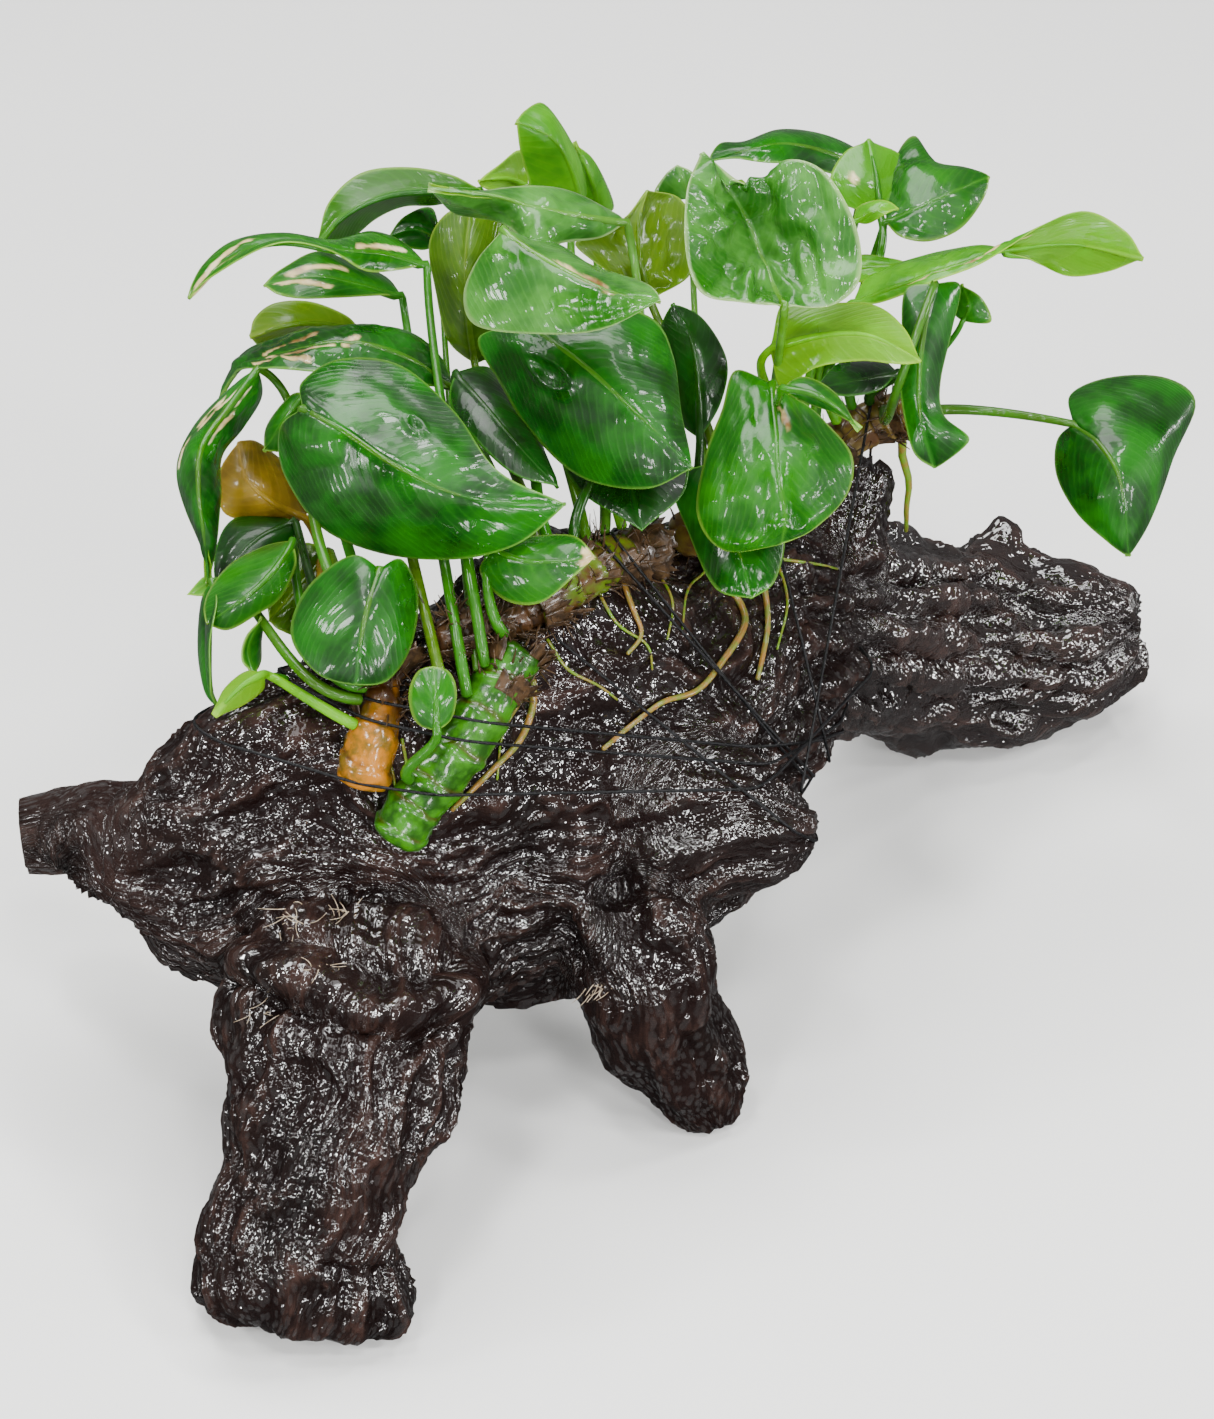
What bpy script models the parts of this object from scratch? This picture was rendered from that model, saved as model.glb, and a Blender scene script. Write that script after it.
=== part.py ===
"""Anubias nana tied to a piece of driftwood.

Metres, +Z up. The wood stands on its own feet on Z = 0 and the origin is below the middle of the plant.
Places are given as an onlooker sees them: millimetres to the right, up and near, from the point looked at.
"""

import math
from collections import namedtuple

import bpy
import bmesh
from mathutils import Matrix, Vector
from mathutils.bvhtree import BVHTree
from mathutils.geometry import convex_hull_2d

MM = 0.001

# The onlooker's place
AIM = Vector((-0.57, 22.13, 50.0))
EYE_RISE = math.radians(40.0)
EYE_DISTANCE = 700.0
RIGHT = Vector((1.0, 0.0, 0.0))
UP = Vector((0.0, math.sin(EYE_RISE), math.cos(EYE_RISE)))
NEAR = Vector((0.0, -math.cos(EYE_RISE), math.sin(EYE_RISE)))

GAP = 0.3
WOOD_SIDES = 12
WOOD_STEPS = 2
RIDGES = 5
RIDGE_DEPTH = 0.07
RHIZOME_SIDES = 8
INTERNODE = 6.5
LEAF_THICKNESS = 0.9
TIP_SHRINK = 0.08
STALK_RADIUS = 1.1
STALK_STEPS = (0.0, 0.33, 0.67, 1.0)
ROOT_SIDES = 6
THREAD_RADIUS = 0.3
THREAD_SIDES = 4

# Blade half width along the midrib, as (share of length, share of full half width)
OUTLINE = ((0.0, 0.0), (0.06, 0.55), (0.18, 0.88), (0.38, 1.0), (0.60, 0.82), (0.82, 0.37), (1.0, 0.0))
LOBE_END = 0.35

# How far a stalk may bow aside to pass the others
BOW_SIZES = (0.0, 3.0, 6.0, 9.0, 13.0, 18.0)
bows = {}

Station = namedtuple("Station", "place across deep roll", defaults=(0.0,))


def seen(right, up, near):
    """The point that an onlooker sees this far right and up of the middle, this much nearer than it."""
    shrink = (EYE_DISTANCE - near) / EYE_DISTANCE
    return AIM + RIGHT * (right * shrink) + UP * (up * shrink) + NEAR * near


def turned(right, up, near):
    """A direction or offset in the onlooker's axes."""
    return RIGHT * right + UP * up + NEAR * near


def through(points, share):
    """A smooth curve through points, at share 0 to 1 of its spans."""
    spans = len(points) - 1
    at = min(max(share, 0.0), 1.0) * spans
    index = min(int(at), spans - 1)
    u = at - index
    b, c = points[index], points[index + 1]
    a = points[index - 1] if index else b * 2 - c
    d = points[index + 2] if index + 2 <= spans else c * 2 - b
    square = (a * 2 - b * 5 + c * 4 - d) * (u * u)
    cube = (b * 3 - a - c * 3 + d) * (u ** 3)
    return (b * 2 + (c - a) * u + square + cube) * 0.5


def material(name, colour, roughness):
    made = bpy.data.materials.new(name)
    made.use_nodes = True
    shader = made.node_tree.nodes["Principled BSDF"]
    shader.inputs["Base Color"].default_value = (*colour, 1.0)
    shader.inputs["Roughness"].default_value = roughness
    return made


def build(name, verts, faces, finish):
    """One object from points in millimetres."""
    mesh = bpy.data.meshes.new(name)
    mesh.from_pydata([v * MM for v in verts], [], faces)
    shape = bmesh.new()
    shape.from_mesh(mesh)
    bmesh.ops.recalc_face_normals(shape, faces=shape.faces)
    bmesh.ops.triangulate(shape, faces=shape.faces)
    if shape.calc_volume(signed=True) < 0.0:
        bmesh.ops.reverse_faces(shape, faces=shape.faces)
    shape.to_mesh(mesh)
    shape.free()
    mesh.shade_smooth()
    mesh.materials.append(finish)
    made = bpy.data.objects.new(name, mesh)
    bpy.context.collection.objects.link(made)
    return made


def outward(verts, faces):
    """The same triangles, all turned to face out."""
    volume = sum(verts[a].dot(verts[b].cross(verts[c])) for a, b, c in faces)
    return verts, faces if volume > 0.0 else [face[::-1] for face in faces]


def loft(rings):
    """Points and faces of a closed skin over equal rings, with flat ends."""
    size = len(rings[0])
    verts = [v for ring in rings for v in ring]
    faces = []
    for low in range(len(rings) - 1):
        for k in range(size):
            after = (k + 1) % size
            a, b = low * size, (low + 1) * size
            faces.append((a + k, a + after, b + after))
            faces.append((a + k, b + after, b + k))
    for k in range(1, size - 1):
        faces.append((0, k + 1, k))
        faces.append(((len(rings) - 1) * size, (len(rings) - 1) * size + k, (len(rings) - 1) * size + k + 1))
    return outward(verts, faces)


def cutter(name, verts, faces):
    """A hidden shape that only cuts."""
    made = build(name, verts, faces, None)
    made.data.materials.clear()
    made.hide_render = True
    made.display_type = "WIRE"
    return made


def cut(target, tool, operation="DIFFERENCE"):
    boolean = target.modifiers.new(operation.title(), "BOOLEAN")
    boolean.operation = operation
    boolean.object = tool
    boolean.solver = "EXACT"


def fattened(name, source):
    """A cutter that is a neighbour grown by the gap, so the two meet face to face."""
    made = source.copy()
    made.name = name
    made.data = source.data.copy()
    made.data.materials.clear()
    bpy.context.collection.objects.link(made)
    made.hide_render = True
    made.display_type = "WIRE"
    swell = made.modifiers.new("Swell", "DISPLACE")
    swell.strength = GAP * MM
    swell.mid_level = 0.0
    return made


# Driftwood


def limb_rings(stations, seed, steps=WOOD_STEPS, sides=WOOD_SIDES, ridge=RIDGE_DEPTH):
    """Rings of a limb: oval, with ridges that wind slowly along it."""
    places = [s.place for s in stations]
    across = [Vector((s.across, s.deep, s.roll)) for s in stations]
    count = (len(stations) - 1) * steps
    rings = []
    for i in range(count + 1):
        share = i / count
        centre = through(places, share)
        along = (through(places, share + 0.02) - through(places, share - 0.02)).normalized()
        half_across, half_deep, roll = through(across, share)
        side = NEAR.cross(along).normalized()
        front = along.cross(side).normalized()
        twist = Matrix.Rotation(math.radians(roll), 3, along)
        side, front = twist @ side, twist @ front
        ring = []
        for k in range(sides):
            angle = math.tau * k / sides
            swell = math.sin(RIDGES * angle + 2.2 * share * len(stations) + seed)
            swell += 0.6 * math.sin(3 * angle - 3.1 * share * len(stations) + 2 * seed)
            grown = 1.0 + ridge * swell
            ring.append(centre + side * (half_across * grown * math.cos(angle))
                        + front * (half_deep * grown * math.sin(angle)))
        rings.append(ring)
    return rings


BODY = (
    Station(seen(-98, -32, 40), 11, 7, 14),
    Station(seen(-87, -32, 43), 22, 10, 16),
    Station(seen(-71, -29, 45), 31, 13, 18),
    Station(seen(-51, -24, 45), 34, 15, 18),
    Station(seen(-31, -21, 43), 38, 15, 18),
    Station(seen(-11, -12, 37), 42, 16, 18),
    Station(seen(5.5, -3.5, 29), 42, 17, 16),
    Station(seen(19, 6.5, 17), 32, 17, 12),
    Station(seen(31, 14, 2), 25, 17, 6),
    Station(seen(39, 16, -12), 18, 14, 0),
)
NOSE = (
    Station(seen(8, -20, 37), 16, 12),
    Station(seen(20, -22, 38), 16, 11),
    Station(seen(31, -24, 37), 11, 9),
    Station(seen(38, -23, 35), 6.5, 6),
    Station(seen(41, -22, 34), 2.5, 3),
)
LEFT_ARM = (
    Station(seen(-84, -30, 44), 13, 9),
    Station(seen(-93, -29, 40), 14, 10),
    Station(seen(-101, -26, 34), 10.5, 9),
    Station(seen(-107, -24.5, 25), 8.2, 7.8),
    Station(seen(-111, -24.5, 18), 7.2, 7.2),
)
FRONT_LEFT_LEG = (
    Station(seen(-50, -44, 50), 20, 14),
    Station(seen(-51, -60, 58), 23, 17),
    Station(seen(-52.5, -74, 63), 20.5, 17),
    Station(seen(-54.5, -84, 63), 19, 16),
    Station(seen(-55, -95, 62), 17.5, 15),
    Station(seen(-60.5, -106, 61), 19.5, 15),
    Station(seen(-59.5, -116, 61), 22, 13),
    Station(seen(-60, -122, 60), 17, 8),
)
FRONT_RIGHT_LEG = (
    Station(seen(5, -37, 40), 12, 10),
    Station(seen(8, -53, 38), 14, 11),
    Station(seen(13.5, -66, 29), 12.5, 10),
    Station(seen(18.6, -75, 22), 9, 8),
    Station(seen(21.4, -82, 18), 4.5, 5),
)
RIGHT_TRUNK = (
    Station(seen(33, 12, -4), 14, 11),
    Station(seen(41, 15, -17), 20, 15),
    Station(seen(49, 16, -31), 22, 17),
    Station(seen(59, 14, -48), 21, 19),
    Station(seen(69, 12, -59), 21.5, 20),
    Station(seen(79, 12.5, -63.5), 21, 20),
    Station(seen(89, 13, -63.5), 18.5, 18),
    Station(seen(99, 15, -62), 13.5, 14),
    Station(seen(105, 16, -60), 7, 8),
)
BACK_STUB = (
    Station(seen(42, 12, -16), 11, 9),
    Station(seen(46, 28, -15), 8.5, 8),
    Station(seen(49, 40, -13), 6.5, 6.5),
    Station(seen(52, 49, -11), 5.5, 5.5),
)
REAR_LEG = (
    Station(Vector((-30.6, -2.3, 55)), 15, 12),
    Station(Vector((-36.6, 15.7, 42)), 14, 12),
    Station(Vector((-42.6, 31.7, 27)), 12, 11),
    Station(Vector((-47.6, 43.7, 12)), 10, 10),
    Station(Vector((-50.6, 50.7, -4)), 9, 9),
)

wood_objects = {}
wood_trees = []
solids = {}


def wood_limb(name, stations, seed, finish, steps=WOOD_STEPS):
    verts, faces = loft(limb_rings(stations, seed, steps))
    wood_trees.append(BVHTree.FromPolygons(verts, faces))
    solids[name] = verts, faces
    made = build(name, verts, faces, finish)
    wood_objects[name] = made
    return made


def make_wood():
    finish = material("wet_driftwood", (0.035, 0.018, 0.013), 0.35)
    end_cut = material("worn_driftwood", (0.07, 0.04, 0.03), 0.5)
    corners = ((-300, -300), (300, -300), (300, 300), (-300, 300))
    ground = cutter("ground", *loft([[Vector((x, y, z)) for x, y in corners] for z in (-60, 0)]))
    body = wood_limb("wood_body", BODY, 0.4, finish)
    solids["nose"] = loft(limb_rings(NOSE, 1.3))
    wood_trees.append(BVHTree.FromPolygons(*solids["nose"]))
    nose = cutter("nose", *solids["nose"])
    cut(body, nose, "UNION")
    trunk = wood_limb("wood_right_trunk", RIGHT_TRUNK, 2.1, finish)
    around_body = fattened("around_body", body)
    around_trunk = fattened("around_trunk", trunk)
    cut(trunk, around_body)
    for name, stations, seed, look in (
            ("wood_left_arm", LEFT_ARM, 0.9, end_cut), ("wood_front_left_leg", FRONT_LEFT_LEG, 1.7, finish),
            ("wood_front_right_leg", FRONT_RIGHT_LEG, 3.1, finish), ("wood_back_stub", BACK_STUB, 2.6, finish),
            ("wood_rear_leg", REAR_LEG, 0.2, finish)):
        limb = wood_limb(name, stations, seed, look)
        cut(limb, around_body)
        if name == "wood_back_stub":
            cut(limb, around_trunk)
    for name in ("wood_right_trunk", "wood_front_left_leg", "wood_front_right_leg", "wood_rear_leg"):
        cut(wood_objects[name], ground)


# Rhizomes

# Each creeping stem's course as it is seen, and its radius; where no nearness is given it lies on the wood
RHIZOME_COURSES = {
    "rhizome_front": (((-43, -26), (-38, -18), (-31, -9), (-24, 1), (-18.5, 12)), 4.9),
    "rhizome_ridge": (((-15, 20), (-9, 24), (-1, 28), (7, 31)), 4.6),
    "rhizome_right": (((14, 33), (25, 41, 20), (37, 47, 9), (52, 57, 1), (64, 60, 4)), 4.4),
    "rhizome_old": (((-49, -15), (-47, -8), (-45, -1), (-44, 6), (-42, 12, 62)), 4.3),
}
SINK = 0.8
rhizomes = {}


def on_wood(right, up, height):
    """The point at a height over the wood where an onlooker sees its surface this far right and up."""
    eye = AIM + NEAR * EYE_DISTANCE
    best = None
    for tree in wood_trees:
        place, normal, _, distance = tree.ray_cast(eye, (seen(right, up, 0.0) - eye).normalized())
        if place is not None and (best is None or distance < best[2]):
            best = place, normal, distance
    return best[0] + (best[1] + NEAR).normalized() * height


def lay_rhizomes():
    for name, (course, radius) in RHIZOME_COURSES.items():
        path = [seen(*spot) if len(spot) == 3 else on_wood(*spot, radius - SINK) for spot in course]
        rhizomes[name] = path, radius


def rhizome_rings(path, radius):
    """Rings of a creeping stem, swollen at each leaf scar."""
    length = sum((b - a).length for a, b in zip(path, path[1:]))
    count = max(6, round(length / INTERNODE * 1.6))
    rings = []
    for i in range(count + 1):
        share = i / count
        along = (through(path, share + 0.02) - through(path, share - 0.02)).normalized()
        side = NEAR.cross(along).normalized()
        front = along.cross(side)
        swell = radius * (1.0 + 0.08 * math.cos(math.tau * share * length / INTERNODE))
        if i in (0, count):
            swell *= 0.72
        rings.append([through(path, share) + side * (swell * math.cos(math.tau * k / RHIZOME_SIDES))
                      + front * (swell * math.sin(math.tau * k / RHIZOME_SIDES)) for k in range(RHIZOME_SIDES)])
    return rings


def make_rhizomes():
    finish = material("rhizome", (0.08, 0.22, 0.02), 0.4)
    old = material("old_rhizome", (0.35, 0.13, 0.02), 0.45)
    grown_wood = [fattened("around_" + name, made) for name, made in list(wood_objects.items())]
    for name, (path, radius) in rhizomes.items():
        solids[name] = loft(rhizome_rings(path, radius))
        made = build(name, *solids[name], old if name == "rhizome_old" else finish)
        for tool in grown_wood:
            cut(made, tool)


# Leaves

Leaf = namedtuple("Leaf", "name base tip left right root share arch curl twist wave lobe via",
                  defaults=(0.0, 0.0, 0.0, 0.0, 0.0, None))
LEAVES = (
    Leaf("leaf_big_left", seen(-60, 62, 66), seen(-8, 39, 72), turned(7, 15, -3), turned(-9, -20, -3),
         "rhizome_ridge", 0.02, 4, -0.10, 0, 0.04, 0.18),
    Leaf("leaf_big_centre", seen(-13, 75, 50), seen(18, 49, 64), turned(12, 12, -8), turned(-14, -16, -2),
         "rhizome_ridge", 0.55, 3, -0.10, 0, 0.03, 0.10),
    Leaf("leaf_folded_centre", seen(-22, 95, 63.5), seen(10, 81, 72.5), turned(3, 4, -16), turned(-10, -13, 4),
         "rhizome_ridge", 0.73, 3, -0.15, 0, 0.03, 0.05, (seen(2, 60, 30), seen(-22, 90, 32))),
    Leaf("leaf_folded_top", seen(4, 97, 39), seen(-36, 103, 46), turned(0, -10, 7), turned(2, 3, -13),
         "rhizome_ridge", 0.91, 5, -0.2, 0, 0.04, 0.0),
    Leaf("leaf_tall_top", seen(-7, 98, 4), seen(-14, 121, 20), turned(-7, 1, 3), turned(8, 2, -7),
         "rhizome_ridge", 1.0, -2, 0.3, 0, 0.0, 0.0),
    Leaf("leaf_bright_top", seen(1, 97, -6), seen(-6.5, 114, 4), turned(-5, 1, 5), turned(6, 1, -6),
         "rhizome_right", 0.10, -1, 0.3, 0, 0.0, 0.0),
    Leaf("leaf_light_back", seen(-13, 107, -12), seen(-30, 101, -3), turned(3, -5, 5), turned(-3, 5, -5),
         "rhizome_ridge", 0.82, 3, 0.0, 0, 0.0, 0.0),
    Leaf("leaf_arch_left", seen(-26, 101, 8), seen(-57, 93.5, 14), turned(0, 8, 6), turned(0, -10, -12),
         "rhizome_ridge", 0.34, 4, 0.0, 0, 0.0, 0.0),
    Leaf("leaf_far_left", seen(-34, 88, 28), seen(-84, 82, 32), turned(0, -4, 9), turned(0, 1, -10),
         "rhizome_front", 0.86, 12, -0.1, 0, 0.04, 0.05, (seen(-30, 32, 72), seen(-38, 70, 24))),
    Leaf("leaf_low_left", seen(-40, 84, 10), seen(-69, 85, 18), turned(0, -5, 8), turned(0, 4, -9),
         "rhizome_front", 0.72, 3, 0.0, 0, 0.0, 0.0, (seen(-32, 26, 74), seen(-38, 64, -2))),
    Leaf("leaf_under_left", seen(-49, 77, 20), seen(-72, 76, 28), turned(0, 7, 6), turned(0, -4, -10),
         "rhizome_front", 0.62, 2, 0.0, 0, 0.0, 0.0, (seen(-42, 22, 76), seen(-50, 60, 8))),
    Leaf("leaf_arch_mid_left", seen(-31, 64, 34), seen(-78, 62, 25), turned(0, -5, 9), turned(0, 4, -10),
         "rhizome_ridge", 0.22, 11, -0.05, 0, 0.0, 0.0),
    Leaf("leaf_hanging_left", seen(-70, 67, 43), seen(-79, 29, 50), turned(5, 2, 7), turned(-7, 0, -5),
         "rhizome_old", 1.00, 6, 0.0, 0, 0.04, 0.05),
    Leaf("leaf_old_yellow", seen(-59, 40, 36), seen(-77, 52, 32), turned(-6, -10, 2), turned(5, 8, -2),
         "rhizome_old", 0.82, 2, 0.1, 0, 0.0, 0.0),
    Leaf("leaf_lower_left", seen(-63, 36, 54), seen(-80, 16, 60), turned(7, -6, -1), turned(-8, 5, -3),
         "rhizome_old", 0.64, 3, -0.1, 0, 0.03, 0.08),
    Leaf("leaf_edge_hanging", seen(-80, 26, 52), seen(-78.5, -0.5, 57), turned(1, 1, 8), turned(-1, 0, -8),
         "rhizome_old", 0.55, 1, 0.0, 0, 0.0, 0.0),
    Leaf("leaf_round", seen(-42, 29, 70), seen(-51, 6, 74), turned(10, -3, -8), turned(-13, 4, -1),
         "rhizome_old", 0.91, 3, -0.1, 0, 0.0, 0.14),
    Leaf("leaf_folded_low", seen(-70, 10, 63), seen(-79, 1, 66), turned(3, -5, 3), turned(-3, 8, -6),
         "rhizome_old", 0.35, 1, 0.2, 0, 0.0, 0.1),
    Leaf("leaf_bright_front", seen(-24, 33, 66), seen(-2.6, 32, 73), turned(1, 4, -5), turned(-1, -11, 5),
         "rhizome_front", 1.0, 2, -0.1, 0, 0.03, 0.08),
    Leaf("leaf_tiny", seen(-33, -4, 76), seen(-35, 9, 74), turned(-4.3, 0, 0), turned(4.3, 0, -1),
         "rhizome_front", 0.33, 1, 0.0, 0, 0.0, 0.0),
    Leaf("leaf_wavy_underside", seen(8, 82, 26), seen(5, 104, 29), turned(9, 0, -4), turned(-14, -2, 5),
         "rhizome_right", 0.22, 2, 0.1, 0, 0.10, 0.0),
    Leaf("leaf_crumpled", seen(34, 80, 52), seen(18.6, 111, 44), turned(-14, 2, 4), turned(16, 13, -5),
         "rhizome_right", 0.375, -3, 0.12, 0, 0.03, 0.22),
    Leaf("leaf_back_arch", seen(50, 108, -6), seen(20, 111, 6), turned(0, -5, 8), turned(0, 3, -9),
         "rhizome_right", 0.48, 6, 0.0, 0, 0.0, 0.0),
    Leaf("leaf_round_underside", seen(52, 96, 12), seen(51, 114, 8), turned(9, 0, -4), turned(-8, 0, 5),
         "rhizome_right", 0.60, 2, 0.1, 0, 0.0, 0.0),
    Leaf("leaf_glossy_back", seen(56, 97, 14), seen(77, 106, 10), turned(-3, 12, -8), turned(2, -6, 5),
         "rhizome_right", 0.72, 2, -0.05, 0, 0.04, 0.05),
    Leaf("leaf_long_right", seen(50, 83, 24), seen(107, 90, 12), turned(1, 6, -10), turned(-1, -6, 10),
         "rhizome_right", 0.66, 4, 0.0, -110, 0.0, 0.05),
    Leaf("leaf_underside_right", seen(35, 73, 40), seen(62, 70, 48), turned(-1, -6, -8), turned(-2, 8, 5),
         "rhizome_right", 0.435, 3, 0.0, 0, 0.0, 0.0),
    Leaf("leaf_vertical_right", seen(62, 85, 34), seen(67, 48, 35), turned(5, 0, -8), turned(-6, 0, 7),
         "rhizome_right", 0.84, 2, 0.0, 0, 0.0, 0.05, (seen(57, 66, 22), seen(60, 79, 38))),
    Leaf("leaf_heart_right", seen(93, 57, 16), seen(105, 31, 22), turned(19, 9, -5), turned(-7, 1, -6),
         "rhizome_right", 1.0, 3, -0.05, 0, 0.0, 0.24, (seen(70, 61, 12), seen(84, 59, 15))),
    Leaf("leaf_front_right", seen(32, 66, 50), seen(36, 33, 62), turned(14, 1, -3), turned(-15, -4, -1),
         "rhizome_right", 0.30, 4, -0.12, 0, 0.03, 0.06),
    Leaf("leaf_under_front", seen(20, 50, 44), seen(29, 22.5, 52), turned(10, 2, 0), turned(-11, -2, -2),
         "rhizome_right", 0.06, 3, 0.0, 0, 0.0, 0.0),
    Leaf("leaf_dark_centre", seen(3, 56, 44), seen(7, 36, 54), turned(11, 1, 0), turned(-11, 0, 0),
         "rhizome_ridge", 0.45, 2, 0.0, 0, 0.0, 0.0),
    Leaf("leaf_dark_left", seen(-24, 62, 42), seen(-9, 43, 56), turned(7, 6, -4), turned(-7, -7, -3),
         "rhizome_ridge", 0.13, 2, 0.0, 0, 0.0, 0.0),
    Leaf("leaf_old_olive", seen(-27, 67, 13), seen(-28, 93, 19), turned(7, 0, -3), turned(-7, 0, 3),
         "rhizome_ridge", 0.29, 2, 0.0, 0, 0.0, 0.0, (seen(-15, 44, 52), seen(-25, 58, 20))),
    Leaf("leaf_dark_right", seen(58, 68, 14), seen(43, 64, 28), turned(0, -6, 5), turned(0, 5, -7),
         "rhizome_right", 0.78, 2, 0.0, 0, 0.0, 0.0),
)


def share_of_width(t):
    """Half width of a blade at a share of its length, as a share of its widest."""
    for (a, low), (b, high) in zip(OUTLINE, OUTLINE[1:]):
        if t <= b:
            return low + (high - low) * (t - a) / (b - a)
    return 0.0


def blade_frame(leaf):
    """The axis, the upper face's direction and the length of a blade."""
    axis = leaf.tip - leaf.base
    length = axis.length
    axis = axis / length
    face = (leaf.right - leaf.left).cross(axis).normalized()
    return axis, face, length


def twisted(leaf, t):
    """How far a blade has turned about its midrib at a share of its length."""
    share = min(max((t - 0.3) / 0.45, 0.0), 1.0)
    return Matrix.Rotation(math.radians(leaf.twist) * share * share * (3 - 2 * share), 3, blade_frame(leaf)[0])


def blade_point(leaf, t, v):
    """A point of a blade's upper face: t from base to tip, v from -1 at the left edge to 1 at the right one."""
    axis, face, length = blade_frame(leaf)
    bulge = 4.0 * t * (1.0 - t)
    middle = leaf.base.lerp(leaf.tip, t) + face * (leaf.arch * bulge)
    turn = twisted(leaf, t)
    wing = turn @ (leaf.right if v > 0 else leaf.left)
    lift = turn @ face
    reach = abs(v)
    width = share_of_width(t)
    point = middle + wing * (width * reach)
    point += lift * (wing.length * width * reach * reach * leaf.curl)
    point += lift * (wing.length * reach * reach * leaf.wave * math.sin(2.5 * math.tau * t + v))
    if leaf.lobe and 0.0 < t < LOBE_END:
        back = math.sin(math.pi * (t / LOBE_END) ** 0.6)
        point -= axis * (length * leaf.lobe * back * reach ** 1.3)
    return point


def stalk_route(leaf, bow=(0.0, 0.0)):
    """The stalk's four control points, from the rhizome to the blade, bowed by a size at an angle."""
    path, radius = rhizomes[leaf.root]
    centre = through(path, leaf.share)
    along = (through(path, leaf.share + 0.02) - through(path, leaf.share - 0.02)).normalized()
    axis, face, _ = blade_frame(leaf)
    rise = Vector((0, 0, 1)) * 1.3 + (leaf.base - centre).normalized() + UP * 0.4
    if leaf.via:
        rise = leaf.via[0] - centre
    out = (rise - along * rise.dot(along)).normalized()
    start = centre + out * (radius * 1.08 + GAP)
    reach = (leaf.base - start).length
    arrive = (axis * 0.35 + face * 0.65 + Vector((0, 0, 0.4))).normalized()
    low, high = leaf.via or (start + out * (0.4 * reach), leaf.base - arrive * (0.35 * reach))
    course = (leaf.base - start).normalized()
    side = course.cross(NEAR).normalized()
    size, angle = bow
    push = (side * math.cos(angle) + side.cross(course) * math.sin(angle)) * size
    return start, low + push, high + push, leaf.base


def clearance(leaf, route, blades, owners, stalks, thin_trees):
    """How far a stalk stays from all that is already there, over what it needs."""
    least = 99.0
    bends = [bezier(route, t) for t in STALK_STEPS]
    for step in range(1, 16):
        t = step / 16
        low = int(t * (len(bends) - 1))
        spot = bends[low].lerp(bends[low + 1], t * (len(bends) - 1) - low)
        for _, _, index, distance in blades.find_nearest_range(spot, 5.0):
            if owners[index] != leaf.name:
                least = min(least, distance - STALK_RADIUS - LEAF_THICKNESS - GAP)
            elif t < 0.8:
                least = min(least, distance - STALK_RADIUS - GAP)
        for other in stalks:
            least = min(least, min((spot - place).length for place in other) - 2 * STALK_RADIUS - GAP)
        if step > 2:
            for tree in thin_trees:
                least = min(least, tree.find_nearest(spot)[3] - STALK_RADIUS - 2 * GAP)
            for path, radius in rhizomes.values():
                near = min((spot - through(path, k / 12)).length for k in range(13))
                least = min(least, near - radius * 1.15 - STALK_RADIUS - GAP)
    return least


def route_stalks():
    """Leads each stalk clear of the others: the smallest bow that clears all of them."""
    verts, faces, owners = [], [], []
    for leaf in LEAVES:
        first = len(verts)
        verts += [blade_point(leaf, i / 10, j / 3 - 1) for i in range(11) for j in range(7)]
        for i in range(10):
            for j in range(6):
                a = first + i * 7 + j
                faces.append((a, a + 1, a + 8, a + 7))
                owners.append(leaf.name)
    blades = BVHTree.FromPolygons(verts, faces)
    others = [BVHTree.FromPolygons(*solid) for name, solid in solids.items() if name not in rhizomes]
    stalks = []
    for leaf in LEAVES:
        best = None
        for size in BOW_SIZES:
            for turn in range(8 if size else 1):
                bow = (size, turn * math.pi / 4)
                margin = clearance(leaf, stalk_route(leaf, bow), blades, owners, stalks, others)
                if best is None or margin > best[0]:
                    best = margin, bow
            if best[0] > 0.0:
                break
        bows[leaf.name] = best[1]
        bends = [bezier(stalk_route(leaf, best[1]), t) for t in STALK_STEPS]
        stalks.append([a.lerp(b, k / 6) for a, b in zip(bends, bends[1:]) for k in range(6)])


def bezier(points, t):
    a, b, c, d = points
    s = 1.0 - t
    return a * (s * s * s) + b * (3 * s * s * t) + c * (3 * s * t * t) + d * (t * t * t)


def leaf_rings(leaf):
    """Eight-point rings: round along the stalk, then as flat as the blade."""
    axis, face, length = blade_frame(leaf)
    route = stalk_route(leaf, bows[leaf.name])
    across = (leaf.right - leaf.left).normalized()
    rings = []
    for t in STALK_STEPS:
        centre = bezier(route, t)
        along = (bezier(route, min(1.0, t + 0.02)) - bezier(route, max(0.0, t - 0.02))).normalized()
        side = (across - along * across.dot(along)).normalized()
        top = side.cross(along)
        turns = [k * math.pi / 4 for k in range(8)]
        rings.append([centre + (top * math.sin(a) - side * math.cos(a)) * STALK_RADIUS for a in turns])
    for t, _ in OUTLINE[1:-1]:
        upper = [blade_point(leaf, t, v) for v in (-1.0, -0.5, 0.0, 0.5, 1.0)]
        down = twisted(leaf, t) @ face * -LEAF_THICKNESS
        lower = [upper[3] + down * 0.6, upper[2] + down, upper[1] + down * 0.6]
        rings.append(upper + lower)
    return rings


def make_leaves():
    finish = material("leaf", (0.03, 0.2, 0.02), 0.25)
    for leaf in LEAVES:
        rings = leaf_rings(leaf)
        rings.append([leaf.tip + (spot - leaf.tip) * TIP_SHRINK for spot in rings[-1]])
        verts, faces = loft(rings)
        build(leaf.name, verts, faces, finish)


# Roots

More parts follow.
